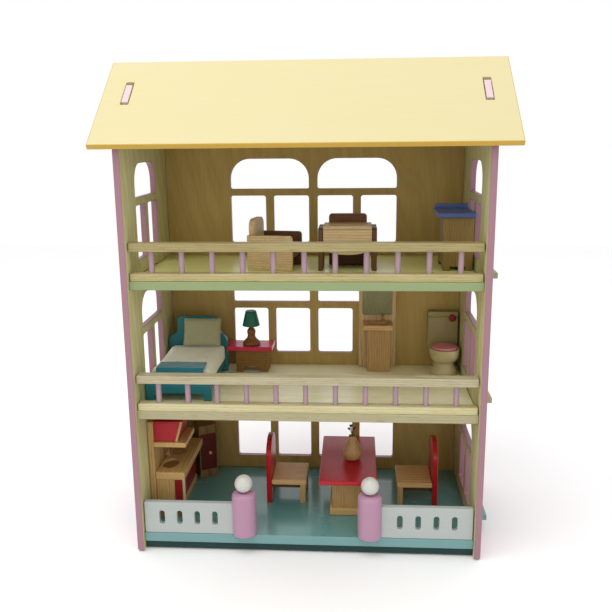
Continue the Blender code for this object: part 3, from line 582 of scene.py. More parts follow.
def piece(name, parts, nodes, smooth_angle=50):
    """Joins parts into one shown piece that rides with, and stands for, its CAD nodes."""
    parts = list(parts)
    first = parts[0]
    if len(parts) > 1:
        with bpy.context.temp_override(active_object=first, object=first, selected_objects=parts,
                                       selected_editable_objects=parts):
            bpy.ops.object.join()
    first.name = name
    first.data.name = name
    settle(first, smooth_angle)
    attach(first, BODY[nodes[0]])
    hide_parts(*nodes)
    return first


# ---------- house
def window(near, far, floor_z, arch):
    """An arched light over two panes."""
    middle = (near + far) / 2
    light, pane = ([floor_z + h for h in pair] for pair in (TOP_LIGHT, PANE))
    return [rounded(near, far, *light, 3, arch, 5), rounded(near, middle - BAR / 2, *pane, 4),
            rounded(middle + BAR / 2, far, *pane, 4)]


SIN, COS, TAN = math.sin(ROOF_ANGLE), math.cos(ROOF_ANGLE), math.tan(ROOF_ANGLE)


def under_roof(y):
    return EAVE[1] + (y - EAVE[0]) * TAN - ROOF_T / COS


def gable():
    def up(y, lift):
        return (y - SIN * lift, under_roof(y) - 0.35 + COS * lift)
    half = [(0, under_roof(0) - 0.35), up(TAB[0], 0), up(TAB[0], 9.2), up(TAB[1], 9.2), up(TAB[1], 0),
            (126, under_roof(126) - 0.35)]
    points = arc((6, 6), 6, 180, 270, 6) + arc((246, 6), 6, 270, 360, 6)
    return points + [(252 - a, b) for a, b in half[:-1]] + list(reversed(half))


for side, lo, hi, mats in (("left", -WALL[1], -WALL[0], (outer_pink, inside_ply, pink, tab_pink)),
                           ("right", *WALL, (inside_ply, outer_pink, pink, tab_pink))):
    holes = []
    for f in FLOOR_TOPS:
        holes += window(64, 176, f, 28)
        holes.append([(MORTISE_Y[0], f - 9.1), (MORTISE_Y[1], f - 9.1), (MORTISE_Y[1], f - 0.1),
                      (MORTISE_Y[0], f - 0.1)])
    wall = board([gable()] + holes, lo, hi, "x", 0.7, mats)
    for p in wall.data.polygons:
        y, z = p.center.y * 1000 + HALF_DEPTH, p.center.z * 1000
        if p.material_index == 2 and z > under_roof(min(y, 252 - y)) + 4:
            p.material_index = 3
    piece(side + "_wall", [wall], ["side_panel_" + side])

holes = []
for f in FLOOR_TOPS:
    holes += window(-135, -7, f, 32) + window(7, 135, f, 32)
bx, by, bz = size_of("back_panel")
piece("back_wall", [board([[(bx[0], bz[0]), (bx[1], bz[0]), (bx[1], bz[1]), (bx[0], bz[1])]] + holes,
                          by[0], by[1], "y", 0.5, (back_ply, outer_pink, pink))], ["back_panel"])

for node, face, edge in (("floor_ground", teal, teal_edge), ("floor_middle", floor_wood, floor_edge),
                         ("floor_top", green, green_edge)):
    _, y, z = size_of(node)
    parts = [brick((-FLOOR_HALF, FLOOR_HALF), y, z, edge, 1, 3, top=face, under=under_ply)]
    for s in (-1, 1):
        parts.append(brick(sorted(s * x for x in TENON_X), TENON_Y, (z[1] - 8.8, z[1] - 0.4), edge, 1))
    piece(node + "_board", parts, [node])

piece("plinth_strip", [brick(*size_of("plinth"), plinth_teal_painted_shade)], ["plinth"])

for level, f, seed, hand, low in (
        ("middle", 217, 0, ((188, 183, 154), (158, 140, 102)), ((206, 202, 162), (182, 164, 114))),
        ("top", 405, 1, ((172, 162, 116), (142, 118, 66)), ((187, 179, 132), (158, 136, 82)))):
    x, y, z = size_of("hand_rail_" + level)
    mat = wood("hand rail pine " + level, *hand, "x", 95, 21 + seed * 3, 0.42, 0.12)
    piece("rail_" + level, [brick(x, y, z, mat, 1.4, 3)], ["hand_rail_" + level])
    mat = wood("bottom rail pine " + level, *low, "x", 75, 31 + seed * 3, 0.42, 0.12)
    parts = [brick(x, (9, 25), (f + 0.3, f + 11), mat, 1.4, 3)]
    for i in range(BALUSTERS):
        rod = [(0, 10), (4.25, 10), (4.25, 10.6), (3.9, 11.6), (3.88, 26), (3.9, 40.9), (3.9, 44),
               (0, 44)]
        parts.append(turned(rod, ((i - BALUSTERS // 2) * PITCH, RAIL_Y, f), rod_pink, 24))
    piece("bottom_rail_" + level, parts, ["balustrade_" + level])

for side, s in (("left", -1), ("right", 1)):
    x, y, z = size_of("fence_" + side)
    loops = [rounded(*x, *z, 1.2, 1.2, 3)]
    for cx in FENCE_SLOTS:
        loops.append(rounded(s * cx - 4, s * cx + 4, 41, 62.5, 3.9, 3.9, 6))
    piece("fence_board_" + side, [board(loops, y[0], y[1], "y", 1, fence_white, 2)],
          ["fence_" + side])
    r, h = POST_R, POST_H
    shoulder = [(r, h - 6), (r - 0.7, h - 3.6), (r - 2.2, h - 1.6), (r - 4.6, h - 0.4), (r - 6.2, h)]
    shape = [(0, 0), (r - 3.4, 0)] + arc((r - 2.6, 2.6), 2.6, 270, 360, 6)[1:] + \
        [(r, 20), (r + 0.05, 40), (r, h - 7)] + spline(shoulder, 3) + [(0, h)]
    piece("post_" + side, [turned(shape, (s * POST_X, POST_Y, G), post_pink, 64)], ["gatepost_" + side])
    flat = BALL_R * math.sin(math.radians(BALL_FLAT))
    ball = [(0, -flat)] + oval(0, 0, BALL_R, BALL_R, range(-74, 90, 6)) + [(0, BALL_R)]
    piece("ball_" + side, [turned(ball, (s * POST_X, POST_Y, G + h + flat + 0.3), ball_white, 56)],
          ["gate_ball_" + side])


def slab(name, front):
    """A roof slab built in its own plane: u along x, v up the slope, w down through it."""
    length = (125.8 - EAVE[0]) / COS
    loops = [[(-ROOF_HALF, 0), (ROOF_HALF, 0), (ROOF_HALF, length), (-ROOF_HALF, length)]]
    v0, v1 = ((y - EAVE[0] - ROOF_T * SIN) / COS for y in SLOT_Y)
    for s in (-1, 1):
        loops.append(rounded(s * SLOT_X - 5.6, s * SLOT_X + 5.6, v0, v1, 0.8, 0.8, 2))
    obj = board(loops, 0, ROOF_T, "z", 1.1, (yellow, under_ply, ochre), 2)
    me = obj.data
    for p in me.polygons:                   # the slots' walls are painted like the face
        v = p.center.y * 1000 + HALF_DEPTH
        if p.material_index == 2 and abs(p.center.x) < 0.27 and v0 - 3 < v < v1 + 3:
            p.material_index = 0
    for v in me.vertices:
        u, slope, w = v.co.x * 1000, v.co.y * 1000 + HALF_DEPTH, v.co.z * 1000
        if slope > length - 20:
            slope -= w * TAN
        y = EAVE[0] + slope * COS + w * SIN
        z = EAVE[1] + slope * SIN - w * COS
        v.co = at(u, y if front else 252 - y, z)
    if front:
        me.flip_normals()
    return piece(name, [obj], ["roof_front" if front else "roof_rear"])


slab("front_slab", True)
slab("rear_slab", False)

# ---------- kitchen unit
piece("kitchen_backboard",
      [brick((-240.4, -231.5), (50, 186), (G, 184), beech_z, 1),
       brick((-231.7, -183), (50, 112), (144, 152), beech_y, 1)],
      ["kitchen_back"])
piece("kitchen_carcass",
      [brick((-231.2, -203.3), (52, 184), (G, G + 63.7), beech_z),
       brick((-204, -199), (56.5, 184), (G, G + 12.7), beech_y)], ["kitchen_cabinet"])
parts = []
for ya, yb in ((55.2, 119.2), (120.8, 184)):        # two doors, each with a dark line painted as the shade of a shallow panel groove
    parts.append(brick((-203, -199), (ya, yb), (G + 13, G + 63), door_red_painted_shade))
    ym = (ya + yb) / 2
    for yc in (ym - 0.15, ym + 0.15):
        parts.append(brick((-199.4, -198.96), (yc - 0.5, yc + 0.5), (G + 15, G + 61), groove_painted_shade, 0.2, 1))
# a dark strip behind the gap between the doors, painted shade
parts.append(brick((-203, -200.4), (118, 122), (G + 14, G + 62), groove_painted_shade, 0.3, 1))
parts.append(brick((-203, -191.8), (51.5, 55.5), (G + 13, G + 63), door_red_painted_shade))
piece("kitchen_doors", parts, ["kitchen_front"])
z1 = G + 76
hole = oval(-216, 85, 12.5, 18, [i * 7.5 for i in range(48)])
parts = [board([rounded(-231.2, -187, 50.5, 109.7, 1, 1, 2), hole], G + 71, z1, "z", 0.8, beech_y, 2),
         brick((-231.2, -187), (110.3, 186), (G + 71, z1), beech_y),
         # the board under the sink hole: its top shows through, painted shade
         brick((-231.2, -187), (50.5, 186), (G + 64, G + 71.4), beech_y, top=sink_floor_painted_shade),
         brick((-230.6, -187.6), (108, 112), (G + 71, z1 - 0.9), dark_y, 0.2, 1),
         brick((-191.5, -187), (51.5, 55.5), (G, G + 64.4), post_cream, 0.7)]
for r0, r1 in ((10.9, 9.7), (6.6, 5.6)):
    ring = [(r1, 75.6), (r0, 75.6), (r0, 76.02), (r0 - 0.3, 76.35), (r1 + 0.3, 76.35), (r1, 76.02),
            (r1, 75.6)]
    parts.append(turned(ring, (-212.6, 129, G), dark_y, 40))
parts.append(turned([(0, 75), (3.2, 75), (3, 77.2), (2.1, 78), (2.1, 87), (1.5, 88), (0, 88)],
                    (-226, 111, G), beech_z, 24))
spout = [(0, -0.5), (1.5, -0.5), (1.7, 0), (1.7, 13.5), (1.3, 14.6), (0, 14.8)]
parts.append(turned(spout, (-226, 111, G + 85.2), beech_y, 20, FORWARD))
piece("worktop", parts, ["kitchen_worktop"])
hood = [(-231.2, 152.3), (-196, 152.3), (-187, 184), (-231.2, 184)]
panel = [(-229.6, 154.4), (-200.2, 154.4), (-193.4, 182), (-229.6, 182)]
strip = [(-199.6, 152.5), (-195.9, 152.3), (-186.9, 184), (-190.8, 184.1)]
piece("kitchen_hood",
      [board([hood], 52.6, 110, "y", 0.8, red, 2),
       board([panel], 52, 54, "y", 0.5, red),
       board([strip], 52.1, 55.5, "y", 0.6, beech_z, 2)], ["kitchen_hood"])

# ---------- cupboard, standing turned in its corner
CUP = (-193.2, 188.5)


def cupboard_brick(u, v, z, mat, r=0.7):
    """A block given along the cupboard's front and into its depth, before the turn."""
    return brick(*([o + c for c in pair] for o, pair in zip((*CUP, G), (u, v, z))), mat, r)


parts = [cupboard_brick((0, 2.3), (0, 30), (0, 94), cup_wood),
         cupboard_brick((30, 32), (0, 30), (0, 94), cup_wood),
         cupboard_brick((2, 5), (5.3, 29.8), (0.2, 93.8), cup_wood, 0.4),
         cupboard_brick((27, 30.2), (5.3, 29.8), (0.2, 93.8), cup_wood, 0.4),
         cupboard_brick((0.6, 31.4), (26, 30), (0.2, 93.8), cup_wood, 0.4),
         cupboard_brick((1.9, 30.1), (0.3, 29), (0.2, 13.7), cup_wood, 0.5),
         cupboard_brick((1.9, 30.1), (5.3, 29), (13.2, 17), cup_wood, 0.4),
         cupboard_brick((1.9, 30.1), (0.3, 29), (78.3, 93.7), cup_wood, 0.5),
         cupboard_brick((1.9, 30.1), (5.3, 29), (75, 78.8), cup_wood, 0.4)]
piece("cupboard_carcass", spin(parts, 30, (*CUP, G)), ["cupboard_body"])
knob = spline([(0, 0.5), (2.4, 0.4), (1.9, 1.6), (2.4, 3), (3, 4.2), (2.6, 5.6), (1.2, 6.2), (0, 6.3)], 3)
parts = [cupboard_brick((2.5, 29.5), (0, 5), (14, 78), cup_red, 0.8),
         turned([(max(0, a), b - 1.2) for a, b in knob], (CUP[0] + 18, CUP[1], G + 45), beech_x, 28,
                FORWARD)]
piece("cupboard_red_door", spin(parts, 30, (*CUP, G)), ["cupboard_door"])

# ---------- table and vase
x, y, z = size_of("table_top")
piece("table_board", [board([rounded(*x, *y, 2, 2, 4)], *z, "z", 1.4,
                            table_red, 2)], ["table_top"])
parts = [brick((35, 84), (80, 208), (G + 10.6, G + 56.7), beech_z, 0.9),
         brick((31.5, 87.5), (72, 216), (G, G + 11), beech_y, 1.2, 3)]
piece("table_pedestal", parts, ["table_base"])
body = spline([(9, 0.4), (12.6, 2.6), (15, 8), (15.4, 12.5), (14.4, 18), (11.4, 24.5), (8, 31.5),
               (6, 36.5), (5.7, 39), (5.9, 40)], 4)
jar = [(0, 0), (8.2, 0)] + body + [(5.3, 40.3), (4.6, 39.8), (4.2, 37), (0, 36.6)]
parts = [turned(jar, (65.5, 138, G + 64.3), vase_wood, 56)]


def tube(pts, r0, r1, mat, closed=False, sides=8):
    """A tapering stem along points (metres), or a cord round a closed line of them."""
    bm = bmesh.new()
    rings = []
    n = len(pts)
    for i, p in enumerate(pts):
        ahead = pts[(i + 1) % n] if closed else pts[min(i + 1, n - 1)]
        d = (ahead - (pts[i - 1] if closed else pts[max(i - 1, 0)])).normalized()
        u = (d.cross(Vector((0.31, 0.2, 0.93))) if closed else d.orthogonal()).normalized()
        v = d.cross(u)
        r = (r0 + (r1 - r0) * i / (n - 1)) * 0.001
        rings.append([bm.verts.new(p + r * (math.cos(2 * math.pi * k / sides) * u
                                            + math.sin(2 * math.pi * k / sides) * v)) for k in range(sides)])
    skin(bm, rings + rings[:1] if closed else rings)
    if not closed:
        bm.faces.new(list(reversed(rings[0])))
        bm.faces.new(rings[-1])
    return new_object("tube", finished(bm, "tube"), [mat])


def leaf_blade(base, tip, width, mat):
    """A folded, pointed leaf between two points."""
    bm = bmesh.new()
    a, b = at(*base), at(*tip)
    d = (b - a)
    side = d.cross(Vector((0, 1, 0.2))).normalized()
    lift = side.cross(d).normalized()
    rows = []
    for i in range(9):
        t = i / 8
        w = width * 0.001 * math.sin(math.pi * t ** 0.8) * 0.5 + 0.00004
        c = a + d * t + lift * (0.12 * d.length * math.sin(math.pi * t))
        rows.append([bm.verts.new(c - side * w + lift * w * 0.4), bm.verts.new(c),
                     bm.verts.new(c + side * w + lift * w * 0.4)])
    skin(bm, rows, False)
    bmesh.ops.solidify(bm, geom=list(bm.faces), thickness=0.00025)
    return new_object("leaf", finished(bm, "leaf"), [mat])


top = G + 64.3
for points, r0, r1 in (([(65.5, 138, 36), (65, 138, 44), (63.8, 137.6, 51), (63.2, 137.5, 57)], 0.9, 0.5),
                       ([(65.3, 138, 40), (66.6, 138.4, 46), (68.8, 138.8, 51.5)], 0.7, 0.4),
                       ([(65.2, 138, 42), (62.4, 138.6, 47), (60.2, 139, 50)], 0.6, 0.35)):
    parts.append(tube([at(a, b, top + c) for a, b, c in points], r0, r1, leaf))
for base, tip, w in (((63.4, 137.5, top + 53), (61, 136.6, top + 59), 3),
                     ((63.4, 137.5, top + 54), (65.4, 138.2, top + 59.2), 3),
                     ((68.4, 138.8, top + 50), (71.2, 139.6, top + 54.5), 3),
                     ((67.2, 138.4, top + 48), (65.8, 139.4, top + 53.5), 2.6),
                     ((60.8, 139, top + 49), (57.6, 139.5, top + 52.5), 3),
                     ((61.4, 138.8, top + 48), (61, 140.2, top + 53), 2.6)):
    parts.append(leaf_blade(base, tip, w, leaf))
for cx, cy, cz in ((63.2, 137.5, 57.4), (69, 138.9, 52), (60, 139, 50.4)):
    bud = [(0, -1.3)] + oval(0, 0, 1.3, 1.3, range(-72, 90, 18)) + [(0, 1.3)]
    parts.append(turned(bud, (cx, cy, top + cz), berry, 14))
piece("vase_and_sprig", parts, ["vase"])


# ---------- chairs
def chair(name, back_x, facing, y0, y1):
    ym, r = (y0 + y1) / 2, (y1 - y0) / 2
    outline = feet(y0, y1, G, 14, 9) + oval(ym, G + 77, r, 26, range(0, 181, 6))
    b0, b1 = sorted((back_x, back_x + facing * 8))
    piece(name + "_rest", [board([outline], b0, b1, "x", 1.3, chair_red, 2)], [name + "_back"])
    s0, s1 = sorted((back_x + facing * 8.3, back_x + facing * 63))
    l0, l1 = sorted((back_x + facing * 53, back_x + facing * 62))
    legs = feet(y0, y1, G, 14, 17, 2) + [(y1 - 2, G + 32), (y0 + 2, G + 32)]
    r0, r1 = sorted((back_x + facing * 8.3, back_x + facing * 56))
    piece(name + "_stool", [brick((s0, s1), (y0 + 0.5, y1 - 0.5), (G + 31, G + 39), beech_x, 1.2, 3),
                            board([legs], l0, l1, "x", 0.9, beech_z),
                            brick((r0, r1), (ym - 20, ym + 20), (G + 20, G + 32), dark_x, 0.6)],
          [name + "_seat"])


chair("chair_left", -70, 1, 108, 176)
chair("chair_right", 198.5, -1, 106, 174)

# ---------- bed
BED_FEET = feet(-239.5, -141.5, M, 12, 8)
foot_board = BED_FEET + arc((-151.5, M + 31), 10, 0, 90, 15) + arc((-229.5, M + 31), 10, 90, 180, 15)


def head_board():
    """A rounded lower board with a narrower crown on its shoulders."""
    right = arc((-155.5, M + 50), 14, 0, 64.6, 12) + [(-149.5, M + 64), (-153.5, M + 68)]
    crown = arc((-161.5, M + 85), 8, 0, 90, 8) + arc((-215.5, M + 85), 8, 90, 180, 8)
    left = [(-223.5, M + 68), (-227.5, M + 64)] + arc((-225.5, M + 50), 14, 98.2, 180, 12)
    return BED_FEET + right + crown + left


parts = [board([foot_board], 52, 61, "y", 1, bed_teal, 2),
         board([head_board()], 199, 208, "y", 1, bed_teal, 2),
         brick((-235.5, -145.5), (56, 204), (M + 13, M + 18), bed_teal)]
piece("bedstead", parts, ["bed_frame"])


def swell(obj, pressure, bending, stiffness, frames, cap, seam=None):
    """A short cloth run under inner pressure, with every point's move capped (millimetres)."""
    start = [v.co.copy() for v in obj.data.vertices]
    cl = obj.modifiers.new("cloth", "CLOTH").settings
    if seam is not None:
        group = obj.vertex_groups.new(name="seam")
        group.add([i for i, c in enumerate(start) if seam(c)], 1, "REPLACE")
        cl.vertex_group_mass = "seam"
    cl.use_pressure = True
    cl.uniform_pressure_force = pressure
    cl.effector_weights.gravity = 0
    cl.quality = 6
    cl.mass = 0.1
    cl.tension_stiffness = cl.compression_stiffness = stiffness
    cl.bending_stiffness = bending
    for f in range(1, frames + 1):
        SCENE.frame_set(f)
    done = bpy.data.meshes.new_from_object(obj.evaluated_get(bpy.context.evaluated_depsgraph_get()))
    obj.modifiers.clear()
    SCENE.frame_set(1)
    for v, s in zip(done.vertices, start):
        d = v.co - s
        if d.length > cap * 0.001:
            v.co = s + d.normalized() * cap * 0.001
    obj.data = done


def puff(me, voxel):
    """Remeshes a closed form evenly, swells it and smooths it."""
    obj = new_object("puff", me, [])
    mod = obj.modifiers.new("even", "REMESH")
    mod.mode = "VOXEL"
    mod.voxel_size = voxel * 0.001
    even = evaluated(obj)
    obj.modifiers.clear()
    obj.data = even
    swell(obj, 2, 0.3, 12, 20, 1.4)
    mod = obj.modifiers.new("finer", "SUBSURF")
    mod.levels = mod.render_levels = 1
    fine = evaluated(obj)
    bpy.data.objects.remove(obj)
    return fine


mx, my, mz = size_of("mattress")
form = bpy.data.meshes.new("mattress form")
bm = block((mx[0] + 1.5, mx[1] - 1.5), (my[0] + 1.5, my[1] - 1.5), (mz[0] + 0.4, mz[1] - 1.6), 5, 4)
bm.to_mesh(form)
bm.free()
me = puff(form, 3)
for v in me.vertices:                       # quilted top, with shallow buttons in rows
    xx, yy, zz = v.co.x * 1000, v.co.y * 1000 + HALF_DEPTH, v.co.z * 1000
    if zz > mz[1] - 8:
        for bx0 in (-212, -188.5, -165):
            for by0 in (84, 107, 130, 153, 176):
                d = math.hypot(xx - bx0, yy - by0)
                v.co.z -= 0.0009 * math.exp(-(d / 5) ** 2)
mattress = new_object("mattress_pad", me, [sheet_white])
piece("mattress_pad", [mattress], ["mattress"], 80)

THROW_WIDTH = 69.2


def folded_throw():
    """Cloth folded across the foot of the bed, one layer hanging over the foot board.

    It follows a path of (y, z) points, whose length is returned with it.
    """
    bm = bmesh.new()
    nx, thick = 44, 1.6
    rng = random.Random(3)
    phase = [rng.uniform(0, 6.28) for _ in range(6)]
    path = [(50.4, M + 30.9 + i * 1.5) for i in range(13)]
    path += oval(52.3, M + 49.7, -1.9, 1.9, range(15, 91, 15))
    path += [(53.5 + i * 1.4, M + 51.6) for i in range(20)]
    path += oval(81, M + 50.35, 1.25, 1.25, range(90, -91, -22))
    path += [(80 - i * 1.4, M + 49.1) for i in range(19)]
    rows = []
    for i, (py, pz) in enumerate(path):
        row = []
        flap = i < 13                   # the part that hangs in front of the foot board
        for j in range(nx + 1):
            px = -221.6 + THROW_WIDTH * j / nx
            wave = 0.2 * math.sin(px * 0.16 + phase[0]) * math.sin(py * 0.22 + phase[1]) \
                + 0.1 * math.sin(px * 0.43 + phase[2] + py * 0.1)
            sag = 0.5 * math.sin(px * 0.09 + phase[4]) * (12 - i) / 12 if flap else 0
            row.append(bm.verts.new(at(px, py + (wave if flap else 0.3 * math.sin(px * 0.11 + phase[3])),
                                       pz + (sag if flap else wave - 0.1))))
        rows.append(row)
    skin(bm, rows, False)
    bmesh.ops.recalc_face_normals(bm, faces=bm.faces)
    bmesh.ops.solidify(bm, geom=list(bm.faces), thickness=thick * 0.001)
    me = bpy.data.meshes.new("throw")
    bm.to_mesh(me)
    bm.free()
    return me, sum(math.dist(a, b) for a, b in zip(path, path[1:]))


throw_mesh, throw_length = folded_throw()
throw = new_object("throw", throw_mesh, [throw_teal])
piece("folded_throw", [throw], ["blanket"], 60)

# the pillow is made lying down, puffed, pinched at its corners, then stood against the headboard
px, py, pz = -179, 183.6, M + 70.5


def drawn_in(u, v):
    return 1 - 0.035 * (1 - v * v) * abs(u) ** 6 - 0.035 * (1 - u * u) * abs(v) ** 6


def pillow_form():
    """Two puffed faces on a grid, sewn together round the rim."""
    bm = bmesh.new()
    n = 24
    grid = {}
    for side in (-1, 1):
        for i in range(n + 1):
            for j in range(n + 1):
                u, v = i / n * 2 - 1, j / n * 2 - 1
                rim = (1 - u ** 4) * (1 - v ** 4)
                inset = drawn_in(u, v)
                w = side * 4.6 * max(0, rim) ** 0.55
                key = (i, j, 0 if rim < 1e-6 else side)
                if key not in grid:
                    grid[key] = bm.verts.new((u * 30.6 * inset * 0.001, w * 0.001, v * 22.6 * inset * 0.001))
        for i in range(n):
            for j in range(n):
                corners = ((i, j), (i + 1, j), (i + 1, j + 1), (i, j + 1))[::-side]
                bm.faces.new([grid[(a, b, 0 if a in (0, n) or b in (0, n) else side)] for a, b in corners])
    return finished(bm, "pillow")


pillow = new_object("pillow_soft", pillow_form(), [])
swell(pillow, 3, 0.2, 15, 15, 1.1, lambda c: abs(c.y) < 1e-6)
for v in pillow.data.vertices:
    v.co.y = max(-0.0058, min(0.0058, v.co.y))
pillow.vertex_groups.clear()
pillow.data.materials.append(pillow_cotton_painted_shade)
sub = pillow.modifiers.new("finer", "SUBSURF")
sub.levels = sub.render_levels = 1
pillow_place = Matrix.Translation(at(px, py, pz)) @ Matrix.Rotation(math.radians(-20), 4, "X")
pillow.data.transform(pillow_place)

rim_points = []
for k in range(96):
    t = 4 * k / 96
    s = t - int(t)
    u, v = ((-1 + 2 * s, -1), (1, -1 + 2 * s), (1 - 2 * s, 1), (-1, 1 - 2 * s))[int(t)]
    inset = drawn_in(u, v)
    rim_points.append(pillow_place @ Vector((u * 30.4 * inset * 0.001, 0, v * 22.4 * inset * 0.001)))
pipe = tube(rim_points, 0.55, 0.55, pillow_cotton_painted_shade, True)
piece("pillow_soft", [pillow, pipe], ["pillow"], 80)

# ---------- nightstand and lamp
x, y, z = size_of("nightstand_top")
piece("nightstand_board", [brick(x, y, z, crimson, 1.3, 3)], ["nightstand_top"])
arch = [(-127, M), (-116, M)] + oval(-100.5, M, 15.5, 10, range(172, 0, -12)) + \
    [(-85, M), (-74, M), (-74, M + 37.2), (-127, M + 37.2)]
piece("nightstand_block", [board([arch], 195, 228, "y", 0.8, night_wood)], ["nightstand_body"])
lx, ly = -102, 207
foot = spline([(14.3, 0.5), (14.6, 2), (13.8, 4.2), (11, 7.2), (8.2, 10), (6.6, 13), (6.3, 16.5),
               (7, 20.5), (6.8, 23.5), (5.2, 26.2), (4.1, 27.4)], 4)
foot = [(0, 0), (13.6, 0)] + foot + [(4, 28), (4, 31.2), (0, 31.2)]
piece("lamp_stem", [turned(foot, (lx, ly, M + 44.8), lamp_wood, 48)], ["lamp_base"])
shade = [(0, 0), (13.4, 0), (14.1, 0.4), (14.2, 1.3), (13, 6.5), (11.8, 11.8), (10.5, 17.4),
         (9.2, 22.6), (8.7, 24.4), (7.9, 25.1), (0, 25.2)]
piece("lamp_green_shade", [turned(shade, (lx, ly, M + 45.1 + 31.2), shade_green, 56)], ["lamp_shade"])

# ---------- washstand
x, y, z = size_of("washstand_backboard")
piece("washstand_board", [board([rounded(*x, *z, 1, 4, 3)], *y, "y", 0.9, wood_z, 2)],
      ["washstand_backboard"])
x, y, z = size_of("washstand_pedestal")
piece("washstand_leg", [brick(x, y, z, beech_z, 1.4, 3)], ["washstand_pedestal"])
x, y, z = size_of("washstand_mirror")
piece("washstand_glass", [board([rounded(*x, *z, 3, 3, 4)], *y, "y", 0.4,
                                mirror)], ["washstand_mirror"])
x, y, z = size_of("washstand_basin")
bowl = rounded(89, 123, 199, 219, 8)
outer = rounded(82, 130, 194, 230.7, 2, 0.8, 3)
zt = M + 80.5
parts = [board([outer, bowl], M + 75, zt, "z", 0.8, beech_x, 2),
         # the board under the basin hole: its top shows through, painted shade
         brick((82, 130), (194, 230.7), (M + 72, M + 75.4), beech_x, top=sink_floor_painted_shade),
         turned([(0, 80), (3.4, 80), (3.2, 81.2), (2.3, 82), (2.3, 90.4), (1.6, 91), (0, 91)],
                (115, 225.5, M), beech_z, 24),
         turned([(0, -0.4), (1.4, -0.4), (1.65, 0), (1.65, 12.4), (1.2, 13.4), (0, 13.4)],
                (115, 225.8, M + 88.7), beech_x, 20, FORWARD)]
piece("washbasin", parts, ["washstand_basin"])

# ---------- toilet
TX = 214
bowl = spline([(20.6, 0.4), (21.2, 2.4), (20.6, 6), (18.2, 11), (15.8, 15.2), (15.1, 17.4), (15.8, 19.8),
               (19.4, 22.6), (22.4, 27), (23.8, 32), (24.2, 36.5), (24.4, 40.6)], 4)
bowl = [(0, 0), (19.8, 0)] + bowl + [(24.1, 41.5), (23.4, 42), (15.8, 42), (15, 41.4), (14.8, 40),
                                     (14, 35.5), (11.5, 31.6), (6, 31.1), (0, 31)]
parts = [turned(bowl, (TX, 201.7, M), china, 64),
         brick((TX - 16, TX + 16), (214, 226), (M, M + 42), china, 1.4, 3)]
piece("toilet_pan", parts, ["toilet_bowl"])
x, y, z = size_of("toilet_cistern")
parts = [brick(x, (y[0] + 0.6, y[1]), (z[0], z[1] - 9), cistern_painted_shade, 1.6, 3),
         brick(x, y, (z[1] - 8.6, z[1]), cistern_painted_shade, 1.8, 3),
         brick((x[0] + 1, x[1] - 1), (y[0] + 1.6, y[1] - 0.6), (z[1] - 9.6, z[1] - 8), cistern_painted_shade,
               0.3, 1)]
piece("cistern", parts, ["toilet_cistern"])
knob = spline([(6, 1.8), (5.8, 2.8), (5, 3.6), (3.4, 3.95), (1.5, 4)], 3)
knob = [(0, 0), (6, 0)] + knob + [(0, 4)]
x, y, z = size_of("toilet_button")
piece("flush_button", [turned([(max(0, a), b) for a, b in knob], (sum(x) / 2, y[1], sum(z) / 2), button_red,
                              40, FORWARD)], ["toilet_button"])
seat = oval(TX, 201, 20, 20, range(149, 392, 6)) + [(TX + 15, 223.1), (TX - 15, 223.1)]
piece("lid_disc", [board([seat], M + 42.3, M + 45.6, "z", 1.1, lid_rose, 2)], ["toilet_lid"])

# ---------- armchair, turned a little
def arm_shape():
    return [(-85, T), (-17, T)] + arc((-22, T + 46), 5, 0, 90, 6) + [(-85, T + 51)]


pivot = (-51, 127, 0)
near = board([arm_shape()], 94, 101, "y", 1, wood_x, 2)
far = board([arm_shape()], 153, 160, "y", 1, dark_x, 2)
ya, yb = 101.3, 152.7
back = board([[(ya, T + 10), (yb, T + 10)] + arc((yb - 12, T + 62), 12, 0, 90, 8)
              + arc((ya + 12, T + 62), 12, 90, 180, 8)], -84, -75, "x", 1.2, wood_z, 2)
seat = brick((-74.7, -20), (ya, yb), (T + 16, T + 30), dark_x, 1.8, 3)
spin([near, far, back, seat], -9, pivot)
piece("arm_near", [near], ["armchair_arm_near"])
piece("arm_far", [far], ["armchair_arm_far"])
piece("armchair_rest", [back], ["armchair_back"])
piece("armchair_cushion_board", [seat], ["armchair_seat"])

# ---------- desk
apron = [(22.3, T + 34)] + oval(57.5, T + 34, -35.2, -11, range(10, 171, 10)) + \
    [(92.7, T + 34), (92.7, T + 59.7), (22.3, T + 59.7)]
piece("desk_apron", [board([apron], 95, 102, "y", 1, wood_x, 2)], ["desk_front"])
piece("desk_board", [brick((22.3, 92.7), (94, 146), (T + 60, T + 65), wood_x, 1, 3)], ["desk_top"])
for side, x0, x1 in (("left", 15, 22), ("right", 93, 100)):
    shape = [(95, T), (146, T), (146, T + 62)] + arc((102, T + 55), 7, 90, 180, 6)
    piece("desk_end_" + side, [board([shape], x0, x1, "x", 1, dark_z, 2)], ["desk_side_" + side])
piece("desk_backboard", [board([rounded(29, 86, T, T + 78, 2, 5, 4)], 146.3, 153, "y", 1,
                               dark_x, 2)], ["desk_back"])

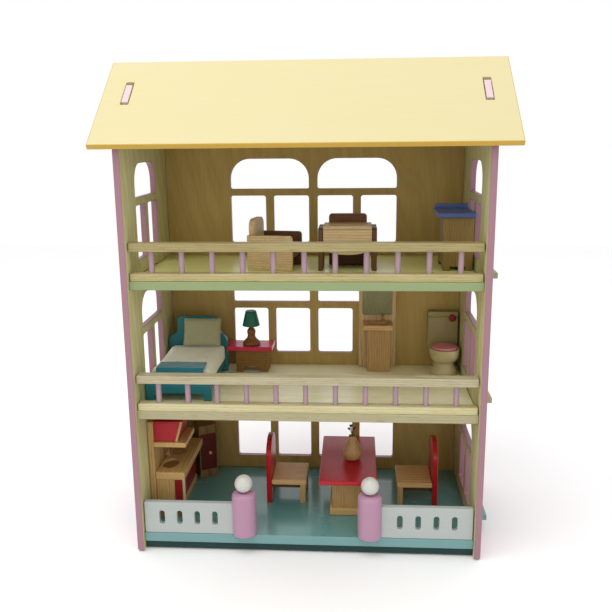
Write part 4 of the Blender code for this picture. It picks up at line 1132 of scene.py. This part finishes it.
# ---------- chest
parts = [brick((195, 237.5), (96, 162), (T + 6, T + 76.7), chest_wood, 1)]
for fx in (195, 227.5):
    for fy in (96, 152):
        parts.append(brick((fx, fx + 10), (fy, fy + 10), (T, T + 8), chest_wood, 0.9))
piece("chest_case", parts, ["chest_body"])
parts = [brick((186, 240), (90, 168), (T + 77, T + 84), navy, 1.2, 3),
         brick((188, 238), (161, 167), (T + 82, T + 91), navy, 1)]
piece("chest_lid", parts, ["chest_top"])


# ---------- stage, light and camera
bm = bmesh.new()
bmesh.ops.create_grid(bm, x_segments=24, y_segments=24, size=3)
s = Shader("studio floor", 0.8)
grain = s.noise(6, s.mapped(), 2)
s.finish(s.mix(s.scaled(grain, 0, 0.2), lin((250, 250, 250)), lin((244, 244, 243))))
floor = new_object("studio_floor", finished(bm, "studio floor"), [s.mat])
floor.location = (0, 0, -0.0005)

world = bpy.data.worlds.new("studio")
world.use_nodes = True
world.node_tree.nodes["Background"].inputs["Color"].default_value = (1, 1, 1, 1)
world.node_tree.nodes["Background"].inputs["Strength"].default_value = 1
SCENE.world = world


def softbox(name, place, target, size, power, colour=(1, 1, 1)):
    data = bpy.data.lights.new(name, "AREA")
    data.shape = "RECTANGLE"
    data.size, data.size_y = size
    data.energy = power
    data.color = colour
    obj = bpy.data.objects.new(name, data)
    SCENE.collection.objects.link(obj)
    obj.location = place
    obj.rotation_euler = (Vector(target) - Vector(place)).to_track_quat("-Z", "Y").to_euler()


softbox("key", (-0.45, -0.75, 2.3), (0, 0, 0.3), (1.8, 1.4), 20)
softbox("fill", (1.3, -1.6, 1.2), (0, 0, 0.3), (1.4, 1.2), 1.5)

PICTURE_PX, FOCAL_PX = 612, 752.189
yaw, pitch, roll = -0.06804, -0.22388, -0.01043
fwd = Vector((math.sin(yaw) * math.cos(pitch), math.cos(yaw) * math.cos(pitch), math.sin(pitch)))
right = Vector((math.cos(yaw), -math.sin(yaw), 0))
up = right.cross(fwd)
right, up = math.cos(roll) * right + math.sin(roll) * up, -math.sin(roll) * right + math.cos(roll) * up
camera = bpy.data.objects.new("camera", bpy.data.cameras.new("camera"))
SCENE.collection.objects.link(camera)
camera.data.sensor_width = 36
camera.data.lens = FOCAL_PX * 36 / PICTURE_PX
camera.data.clip_start = 0.05
camera.data.clip_end = 20
turn = Matrix((right, up, -fwd)).transposed().to_4x4()
camera.matrix_world = Matrix.Translation((0.0702, -1.1124, 0.5992)) @ turn
SCENE.camera = camera
